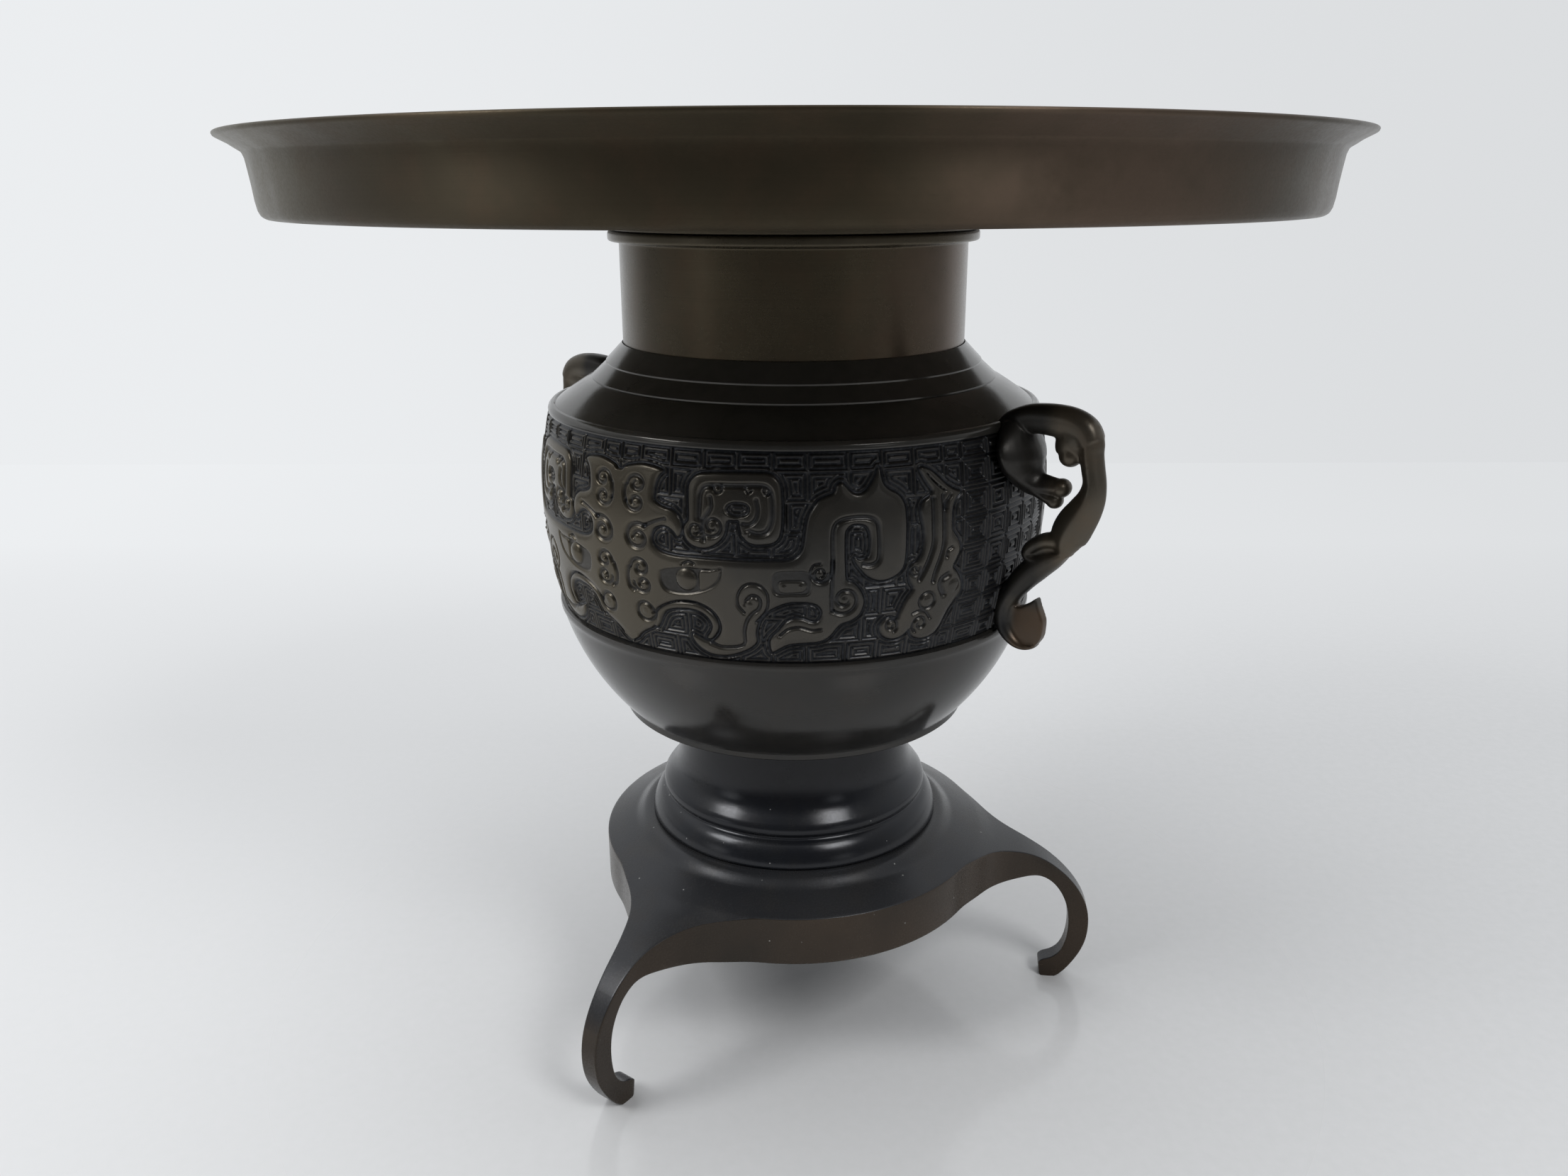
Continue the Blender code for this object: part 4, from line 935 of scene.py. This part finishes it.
# %% A smooth line, and a bar along it in the upright plane y = 0
def smooth_line(points, steps, closed=False):
    """More points between the given ones, on a smooth line through them."""
    ring = [points[-1]] + list(points) + list(points[:2])
    ends = ring if closed else [points[0]] + list(points) + [points[-1]]
    line = []
    for near in zip(ends, ends[1:], ends[2:], ends[3:]):
        for t in (i / steps for i in range(steps)):
            line.append(tuple(through(*values, t) for values in zip(*near)))
    return line if closed else line + [tuple(points[-1])]


def bar(name, points, power, steps=4, sides=28):
    """A bar through (x, z, half thickness, half width) points; a power under 2 gives it ridges."""
    def swell(value):
        return math.copysign(abs(value) ** (2.0 / power), value)

    line = smooth_line(points, steps)
    turns = [math.tau * k / sides for k in range(sides)]
    rings = []
    for i, (x, z, size, wide) in enumerate(line):
        before, after = line[max(i - 1, 0)], line[min(i + 1, len(line) - 1)]
        along = Vector((after[0] - before[0], after[1] - before[1])).normalized()
        rings.append(np.array([(x - along.y * size * swell(math.cos(a)), wide * swell(math.sin(a)),
                                z + along.x * size * swell(math.cos(a))) for a in turns]) * MM)
    deselect()
    bpy.ops.mesh.primitive_circle_add(vertices=sides, radius=MM, fill_type="NGON")
    piece = named(name)
    piece.data.vertices.foreach_set("co", rings[0].ravel())
    bpy.ops.object.mode_set(mode="EDIT")
    bpy.ops.mesh.select_mode(type="FACE")
    bpy.ops.mesh.select_all(action="SELECT")
    for here, there in zip(rings, rings[1:]):
        extrude_to(piece, here, there)
    face_outwards()
    return piece


# %% A bevelled plate and a ball in the same plane
def plate(name, outline, half_width, bevel):
    """An outline drawn point by point, filled, given its width, and bevelled on both sides."""
    outline = smooth_line(outline, 3, closed=True)
    piece = drawn_line(name, [Vector((x * MM, -half_width * MM, z * MM)) for x, z in outline])
    bpy.ops.mesh.edge_face_add()
    across = (0.0, 2.0 * half_width * MM, 0.0)
    bpy.ops.mesh.extrude_region_move(TRANSFORM_OT_translate={"value": across})
    bpy.ops.mesh.select_all(action="SELECT")
    bpy.ops.mesh.normals_make_consistent(inside=False)
    bpy.ops.mesh.select_all(action="DESELECT")
    net = bmesh.from_edit_mesh(piece.data)
    for edge in net.edges:
        edge.select = edge.verts[0].co.y * edge.verts[1].co.y > 0.0
    net.select_flush_mode()
    bmesh.update_edit_mesh(piece.data)
    bpy.ops.mesh.bevel(offset=bevel * MM, segments=3, affect="EDGES", clamp_overlap=True)
    bpy.ops.object.mode_set(mode="OBJECT")
    return piece


def knob(name, x, z, radius, wide):
    """A ball in the plane of the handle, stretched across it."""
    deselect()
    bpy.ops.mesh.primitive_ico_sphere_add(subdivisions=4, radius=radius * MM,
                                          location=(x * MM, 0.0, z * MM), scale=(1.0, wide, 1.0))
    piece = named(name)
    bpy.ops.object.transform_apply(location=True, rotation=True, scale=True)
    return piece


# %% Join the parts of a handle and melt them together
VOXEL = 0.4
EASING, EASING_ROUNDS = 0.5, 7
# Each bar has its points and the power of its section, each plate its half width and bevel, and
# each ball its place, radius and stretch
parts = [bar("arch", ARCH, 2.3), bar("limb", LIMB, 1.55), bar("nub", NUB, 2.0),
         bar("head", HEAD, 1.45), bar("chin", CHIN, 1.7), bar("curl", CURL, 2.2),
         bar("lower", LOWER, 2.2), plate("leaf", LEAF, 1.7, 1.0), plate("inner", INNER, 2.2, 0.5),
         knob("nub_tip", 90.9, 190.9, 3.1, 1.2), knob("snout", 89.0, 181.9, 2.6, 1.25),
         knob("chin_tip", 87.3, 178.2, 2.2, 1.4)]
deselect()
for part in parts:
    part.select_set(True)
bpy.context.view_layer.objects.active = parts[0]
bpy.ops.object.join()
handle = parts[0]
melt = handle.modifiers.new("melt", "REMESH")
melt.mode = "VOXEL"
melt.voxel_size = VOXEL * MM
ease = handle.modifiers.new("ease", "SMOOTH")
ease.factor, ease.iterations = EASING, EASING_ROUNDS
for step in (melt.name, ease.name):
    bpy.ops.object.modifier_apply(modifier=step)
bpy.ops.object.shade_smooth()
print("a handle has", len(handle.data.polygons), "faces")

# %% One handle for each side
handles = []
for name, degrees in (("handle_right_scroll", HANDLE_DEG),
                      ("handle_left_scroll", HANDLE_DEG + 180.0)):
    pick(handle)
    bpy.ops.object.duplicate()
    piece = named(name)
    piece.rotation_euler.z = math.radians(degrees)
    bpy.ops.object.transform_apply(location=False, rotation=True, scale=False)
    handles.append(piece)
bpy.data.objects.remove(handle, do_unlink=True)
print(len(handles), "handles, half a turn apart")

# %% [markdown]
# ## Finishes
#
# All the castings are bronze with a patina: a thin dark skin, through which the metal shows its
# colour. Every pattern reads the place on the piece itself, so it stays where it is in any view.
# The nodes of a finish could be laid by hand in the shader editor. Short helpers add the same
# nodes here, one call at a time.

# %% A tree of nodes
class Nodes:
    """Adds nodes to a tree, and links or sets their inputs."""

    def __init__(self, tree):
        self.tree = tree

    def put(self, socket, value):
        if isinstance(value, bpy.types.NodeSocket):
            self.tree.links.new(value, socket)
        else:
            socket.default_value = value

    def node(self, kind, inputs=(), **settings):
        made = self.tree.nodes.new(kind)
        for key, value in settings.items():
            setattr(made, key, value)
        for key, value in dict(inputs).items():
            self.put(made.inputs[key], value)
        return made

    def split(self, vector):
        return self.node("ShaderNodeSeparateXYZ", {0: vector}).outputs

    def combine(self, a, b, operation="ADD"):
        return self.node("ShaderNodeMath", {0: a, 1: b}, operation=operation).outputs[0]

    def remap(self, value, low, high, to_low=0.0, to_high=1.0, **settings):
        inputs = {"Value": value, "From Min": low, "From Max": high,
                  "To Min": to_low, "To Max": to_high}
        return self.node("ShaderNodeMapRange", inputs, **settings).outputs["Result"]


# %% A finish
class Finish(Nodes):
    """A material of one shader; `Specular_IOR_Level=0.5` sets the socket of that name."""

    def __init__(self, name, **constants):
        self.material = bpy.data.materials.new(name)
        self.material.use_nodes = True
        super().__init__(self.material.node_tree)
        self.shader = self.tree.nodes["Principled BSDF"]
        self.set(**constants)
        self.place = self.node("ShaderNodeTexCoord").outputs["Object"]

    def set(self, **values):
        for socket, value in values.items():
            self.put(self.shader.inputs[socket.replace("_", " ")], value)

    def length(self, vector):
        made = self.node("ShaderNodeVectorMath", {0: vector}, operation="LENGTH")
        return made.outputs["Value"]

    def noise(self, scale, detail, rough, place=None):
        inputs = {"Vector": place or self.place, "Scale": scale, "Detail": detail,
                  "Roughness": rough}
        return self.node("ShaderNodeTexNoise", inputs).outputs["Fac"]

    def blend(self, factor, a, b):
        return self.node("ShaderNodeMix", {0: factor, 6: a, 7: b}, data_type="RGBA").outputs[2]

    def bump(self, value, depth_mm):
        inputs = {"Height": value, "Distance": depth_mm * MM, "Strength": 1.0}
        return self.node("ShaderNodeBump", inputs).outputs["Normal"]


def colour(r, g, b):
    return (r, g, b, 1.0)


print("a colour has four numbers, as in", colour(0.045, 0.035, 0.021))

# %% [markdown]
# ### Turned bronze
#
# The tool leaves fine rings round the axis, and the patina drifts from dark to light with warmer
# spots. Rings are noise read along radius and height only. Dish and neck keep the lathe's
# brushing, so their highlights are drawn out, which the shader's anisotropic value does. Stains,
# and patches of painted light, shade and reflection, follow the tones in the photograph: a value
# fades each in between two places.

# %% Stains and painted light, dust and browner sides
DUST_CELLS = 420.0
DUST = colour(0.5, 0.5, 0.48)


def stained_or_painted_light(made, tone, patch_colour, mottle, limits):
    """The tone gives way to a stain, or to painted light and shade; each (value, low, high) fades
    it in, in millimetres.
    """
    share = made.remap(mottle, 0.25, 0.6, 0.55, 1.0)
    for value, low, high in limits:
        share = made.combine(share, made.remap(value, low * MM, high * MM), "MULTIPLY")
    return made.blend(share, tone, patch_colour)


def dusted(made, tone, amount):
    """One pale speck in a few of many cells."""
    cells = made.node("ShaderNodeTexVoronoi", {"Vector": made.place, "Scale": DUST_CELLS})
    draw = made.node("ShaderNodeSeparateColor", {0: cells.outputs["Color"]}).outputs[0]
    speck = made.remap(cells.outputs["Distance"], 0.06, 0.11, amount, 0.0)
    return made.blend(made.combine(made.remap(draw, 0.93, 0.94), speck, "MULTIPLY"), tone, DUST)


def with_sides(made, tone, cloud, sides):
    """Upright faces take a pair of tones of their own."""
    facing = made.split(made.node("ShaderNodeNewGeometry").outputs["Normal"])[2]
    upright = made.remap(made.combine(facing, facing, "MULTIPLY"), 0.10, 0.30, 1.0, 0.0)
    return made.blend(upright, tone, made.blend(made.remap(cloud, 0.4, 0.6), *sides))


# %% Bronze off the lathe
FINE_RINGS, BROAD_RINGS = 2600.0, 330.0     # scales of the marks that the tool leaves
CLOUD, MOTTLE, GRAIN = 14.0, 90.0, 1500.0   # scales of the patina's drift, spots and grain


def turned_bronze(name, dark, light, warm, roughness, groove=0.012, metal=0.8, gloss=0.5,
                  brushed=0.0, dust=0.0, sides=None, stains_and_painted_light=()):
    """Satin bronze: fine rings from the tool, and a patina that drifts in tone."""
    made = Finish(name, Metallic=metal, Specular_IOR_Level=gloss, Anisotropic=brushed,
                  Anisotropic_Rotation=0.25)
    if brushed:
        round_axis = made.node("ShaderNodeTangent", direction_type="RADIAL", axis="Z")
        made.set(Tangent=round_axis.outputs[0])
    x, y, z = made.split(made.place)
    out = made.length(made.node("ShaderNodeCombineXYZ", {0: x, 1: y}).outputs[0])
    lathe = made.node("ShaderNodeCombineXYZ", {0: out, 1: z}).outputs[0]
    fine = made.noise(FINE_RINGS, 2.0, 0.6, lathe)
    broad = made.noise(BROAD_RINGS, 2.0, 0.5, lathe)
    cloud = made.noise(CLOUD, 4.0, 0.55)
    mottle = made.noise(MOTTLE, 4.0, 0.6)
    grain = made.noise(GRAIN, 2.0, 0.6)
    tone = made.blend(made.remap(cloud, 0.35, 0.65), dark, light)
    tone = made.blend(made.remap(mottle, 0.45, 0.75, 0.0, 0.5), tone, warm)
    tone = made.blend(made.remap(fine, 0.3, 0.7, 0.0, 0.22), tone, dark)
    values = {"x": x, "radius": out, "z": z}
    for limits, patch_colour in stains_and_painted_light:
        limits = [(values[key], low, high) for key, low, high in limits]
        tone = stained_or_painted_light(made, tone, patch_colour, mottle, limits)
    if sides:
        tone = with_sides(made, tone, cloud, sides)
    if dust:
        tone = dusted(made, tone, dust)
    uneven = made.remap(made.combine(mottle, grain), 0.7, 1.3, roughness - 0.05, roughness + 0.07)
    made.set(Base_Color=tone, Roughness=uneven,
             Normal=made.bump(made.combine(fine, broad), groove))
    return made.material


def brown(name, roughness):
    """Dish and neck bronze with painted reflection, browner right of the middle and yellower at the
    far left, and a collar painted lighter.
    """
    return turned_bronze(
        name, colour(0.045, 0.035, 0.021), colour(0.074, 0.059, 0.036),
        colour(0.082, 0.053, 0.032), roughness, brushed=0.85, stains_and_painted_light=(
            # Painted reflection: lighter and browner right of the middle, a band of reflection on
            # the brushed wall
            ((("x", 15, 45), ("x", 105, 72)), colour(0.108, 0.077, 0.055)),
            # Painted reflection: yellower at the far left, where the wall reflects at a grazing
            # angle
            ((("x", -95, -140),), colour(0.074, 0.062, 0.018)),
            # Painted light: the collar, in the shade of the dish, is painted lighter
            ((("z", 242.3, 243.3), ("radius", 60, 56)), colour(0.080, 0.068, 0.047))))


# %% The finishes of the turned pieces, the stand and the handles
DISH_BROWN = brown("brown_turned_bronze", 0.45)
NECK_BROWN = brown("neck_turned_bronze", 0.30)
DARK = turned_bronze(
    "dark_turned_bronze", colour(0.028, 0.027, 0.025), colour(0.042, 0.040, 0.037),
    colour(0.042, 0.036, 0.030), 0.15, metal=0.45, gloss=0.46, stains_and_painted_light=(
        # Painted light: the lip and shoulder, in the shade of the dish, are painted lighter
        ((("z", 194, 199),), colour(0.080, 0.076, 0.068)),))
BLUE_BLACK = turned_bronze(
    "blue_black_bronze", colour(0.010, 0.011, 0.014), colour(0.018, 0.020, 0.025),
    colour(0.018, 0.017, 0.016), 0.21, 0.004, metal=0.35, gloss=0.45, dust=0.6, stains_and_painted_light=(
        # Painted shade: the top of the stem, under the urn's bowl, is painted near black
        ((("z", 80, 88),), colour(0.006, 0.006, 0.008)),))
STAND = turned_bronze(
    "stand_bronze", colour(0.025, 0.026, 0.029), colour(0.040, 0.041, 0.044),
    colour(0.038, 0.035, 0.031), 0.25, 0.003, metal=0.35, gloss=0.30, dust=0.7,
    sides=(colour(0.032, 0.026, 0.020), colour(0.052, 0.038, 0.027)))
HANDLE = turned_bronze(
    "handle_bronze", colour(0.066, 0.058, 0.046), colour(0.116, 0.097, 0.070),
    colour(0.125, 0.085, 0.052), 0.36, 0.004, metal=0.6, stains_and_painted_light=(
        # Painted shade: the head and the arch's inner end, close to the urn, are painted near black
        ((("radius", 89, 84), ("z", 173, 177)), colour(0.016, 0.016, 0.017)),
        ((("radius", 92, 88), ("z", 166, 162)), colour(0.050, 0.044, 0.036)),
        ((("radius", 77, 79), ("z", 149, 146)), colour(0.085, 0.056, 0.035)),
        ((("radius", 87, 84), ("z", 147, 151)), colour(0.028, 0.026, 0.023)),
        # Painted shade: darker still where the handle lies close against the urn
        ((("radius", 78, 76),), colour(0.018, 0.018, 0.019))))
print(len(bpy.data.materials), "materials so far")

# %% [markdown]
# ### Cast relief
#
# Hands wear the tops of a relief bright, and its depths stay dark. The shader can't tell one from
# the other by itself, so each panel carries the height of its points as an attribute, and the
# finish reads it. That holds from every side, which a painted shadow wouldn't.

# %% Worn tops, dark depths, and painted light on the left
PATCHES, SAND = 30.0, 900.0     # scales of the tone's drift and of the casting's fine grain


def relief_bronze(name):
    """The `level` of each point tells a worn top from a dark hollow."""
    made = Finish(name, Metallic=0.7)
    level = made.node("ShaderNodeAttribute", attribute_name="level").outputs["Fac"]
    cloud = made.noise(PATCHES, 4.0, 0.6)
    grain = made.noise(SAND, 3.0, 0.6)
    wear_and_painted_light = made.blend(made.remap(cloud, 0.35, 0.65), colour(0.040, 0.038, 0.034),
                      colour(0.066, 0.059, 0.049))
    # Painted light: the left side, toward the light, is painted lighter and browner
    painted_light_left = made.remap(made.split(made.place)[0], -15 * MM, -55 * MM)
    wear_and_painted_light = made.blend(painted_light_left, wear_and_painted_light, colour(0.082, 0.069, 0.047))
    deep = made.blend(made.remap(grain, 0.4, 0.65), colour(0.012, 0.013, 0.016),
                      colour(0.027, 0.029, 0.033))
    made.set(Base_Color=made.blend(made.remap(level, -0.95, -0.15), deep, wear_and_painted_light),
             Roughness=made.remap(level, -0.9, 0.0, 0.36, 0.27), Normal=made.bump(grain, 0.012))
    return made.material


RELIEF = relief_bronze("cast_relief_bronze")
print(len(bpy.data.materials), "materials in all")

# %% [markdown]
# ## Dressing the imported model
#
# Each new piece rides on the vase's one body, hides the CAD node that it stands for, and takes its
# finish. The urn and its four panels stand for one node.

# %% Dress every piece
def dress(piece, node, finish):
    """The piece rides on the one body, stands for its CAD node and takes its finish."""
    piece.data.materials.clear()
    piece.data.materials.append(finish)
    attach(piece, "root")
    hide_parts(node)


dress(dish, "dish", DISH_BROWN)
dress(neck, "neck", NECK_BROWN)
dress(urn, "body", DARK)
for panel in panels:
    dress(panel, "body", RELIEF)
dress(pedestal, "pedestal", BLUE_BLACK)
dress(stand, "tripod_stand", STAND)
for piece, node in zip(handles, ("handle_right", "handle_left")):
    dress(piece, node, HANDLE)
print("dressed", len(panels) + len(handles) + len((dish, neck, urn, pedestal, stand)), "pieces")

# %% [markdown]
# ## Paper
#
# The vase stands on a wide sheet of pale paper, before a pale wall. An upright sheet behind it
# would hide the vase from behind, so the paper lies flat. It brightens toward its far edge until
# it has the tone of the wall, so no edge shows in the photograph's view.

# %% Lay the paper
WALL_LIGHT = colour(0.96, 0.98, 1.0)
deselect()
bpy.ops.mesh.primitive_plane_add(size=1.0, location=(0.0, -1.2, 0.0))
floor = named("paper_floor")
floor.scale = (6.0, 4.0, 1.0)
bpy.ops.object.transform_apply(location=True, rotation=True, scale=True)
print("the paper is", tuple(floor.dimensions), "metres")

# %% The paper's finish
paper = Finish("pale_paper")
to_right, to_back = paper.split(paper.place)[:2]
fibre = paper.noise(260.0, 4.0, 0.6)
# Painted shade: the paper is painted a little darker to the right
paper_white_shaded_right = paper.blend(paper.remap(to_right, -0.35, 0.30), colour(0.665, 0.67, 0.675),
                    colour(0.625, 0.63, 0.635))
paper_white_shaded_right = paper.blend(paper.remap(fibre, 0.3, 0.7, 0.0, 0.5), paper_white_shaded_right, colour(0.68, 0.68, 0.69))
# Beside and before the vase the paper throws less light on it, though the camera sees it white
seen = paper.node("ShaderNodeLightPath").outputs["Is Camera Ray"]
aside = paper.remap(paper.combine(to_right, 0.0, "ABSOLUTE"), 0.75, 1.3)
before = paper.remap(to_back, -0.42, -0.75)
unseen = paper.combine(1.0, seen, "SUBTRACT")
shade = paper.combine(paper.combine(aside, before, "MAXIMUM"), unseen, "MULTIPLY")
tone = paper.blend(shade, paper_white_shaded_right, colour(0.12, 0.12, 0.123))
# Beyond the vase it glows like the wall, a little less to the right
beyond = paper.remap(to_back, 0.18, 0.52)
middle = paper.combine(1.0, aside, "SUBTRACT")
lit = paper.combine(beyond, paper.combine(middle, seen, "MAXIMUM"), "MULTIPLY")
strength = paper.combine(lit, paper.remap(to_right, -0.6, 0.6, 0.835, 0.72), "MULTIPLY")
# It is polished near the feet, which show in it faintly, and dull farther out
polish = paper.remap(paper.length(paper.place), 0.14, 0.34, 0.15, 0.9)
paper.set(Base_Color=paper.blend(beyond, tone, colour(0.0, 0.0, 0.0)), Roughness=polish,
          Emission_Color=WALL_LIGHT, Emission_Strength=strength)
floor.data.materials.append(paper.material)
print("its finish has", len(paper.tree.nodes), "nodes")

# %% [markdown]
# ## Room and lamps
#
# The light is soft: a bright room behind, beside and above the vase, and a darker one behind the
# camera, with two low windows that draw upright streaks on the brushed neck. All of it is in the
# world's nodes, which light the vase from every side at no cost. Three large soft lamps high up add
# to it: two give the highlights their edges, and the one overhead shows in no highlight.

# %% A soft room
# Where each light begins and where it is full, from -1 away from it to 1 straight at it, and its
# strength at both
BACK_LIGHT = (-0.9, 0.6, 0.08, 0.79)
TOP_LIGHT = (0.50, 0.92, 0.0, 0.40)
WINDOW_LIGHT = (0.98, 1.0, 0.0, 1.1)
WALL_TONE = (0.60, -0.55, 0.74, 0.87)
TOP_WAY = (-0.30, 0.10, 0.95)
WINDOW_WAYS = ((-0.86, -0.50, 0.10), (0.61, -0.78, 0.10))

bpy.context.scene.view_settings.view_transform = "Standard"
world = bpy.data.worlds.new("soft_room")
bpy.context.scene.world = world
world.use_nodes = True
room = Nodes(world.node_tree)
way = room.node("ShaderNodeTexCoord").outputs["Generated"]
sideways, ahead = room.split(way)[:2]


def toward(direction):
    made = room.node("ShaderNodeVectorMath", {0: way, 1: direction}, operation="DOT_PRODUCT")
    return made.outputs["Value"]


def glow(along, light):
    """Strength of one light of the room, which rises smoothly with a value."""
    return room.remap(along, *light, interpolation_type="SMOOTHSTEP")


light = room.combine(glow(ahead, BACK_LIGHT), glow(toward(TOP_WAY), TOP_LIGHT))
for window in WINDOW_WAYS:
    light = room.combine(light, glow(toward(window), WINDOW_LIGHT))
# The camera itself sees one pale wall, a little darker to the right
seen = room.node("ShaderNodeLightPath").outputs["Is Camera Ray"]
wall = room.node("ShaderNodeMix", {0: seen, 2: light, 3: glow(sideways, WALL_TONE)})
back = room.tree.nodes["Background"]
room.put(back.inputs["Color"], WALL_LIGHT)
room.put(back.inputs["Strength"], wall.outputs[0])
print("the room has", len(room.tree.nodes), "nodes")

# %% Three lamps
LAMP_AIM = Vector((0.0, 0.0, 0.12))


def lamp(name, azimuth, elevation, away, size, watts):
    """A square soft lamp, placed in degrees from the camera's side and aimed at the vase."""
    deselect()
    bpy.ops.object.light_add(type="AREA")
    made = named(name)
    a, e = math.radians(azimuth - 90.0), math.radians(elevation)
    way = Vector((math.cos(e) * math.cos(a), math.cos(e) * math.sin(a), math.sin(e)))
    spot = LAMP_AIM + away * way
    aimed = (spot - LAMP_AIM).to_track_quat("Z", "Y").to_matrix().to_4x4()
    made.matrix_world = Matrix.Translation(spot) @ aimed
    made.data.size = size
    made.data.energy = watts
    return made


lamp("lamp_left", -66.0, 40.0, 1.6, 0.50, 8.5)
lamp("lamp_right", 40.0, 44.0, 1.6, 0.50, 8.5)
above = lamp("lamp_above", -90.0, 76.0, 1.2, 0.80, 2.6)
above.visible_glossy = False
print("three lamps, the highest at %.2f m" % above.location.z)
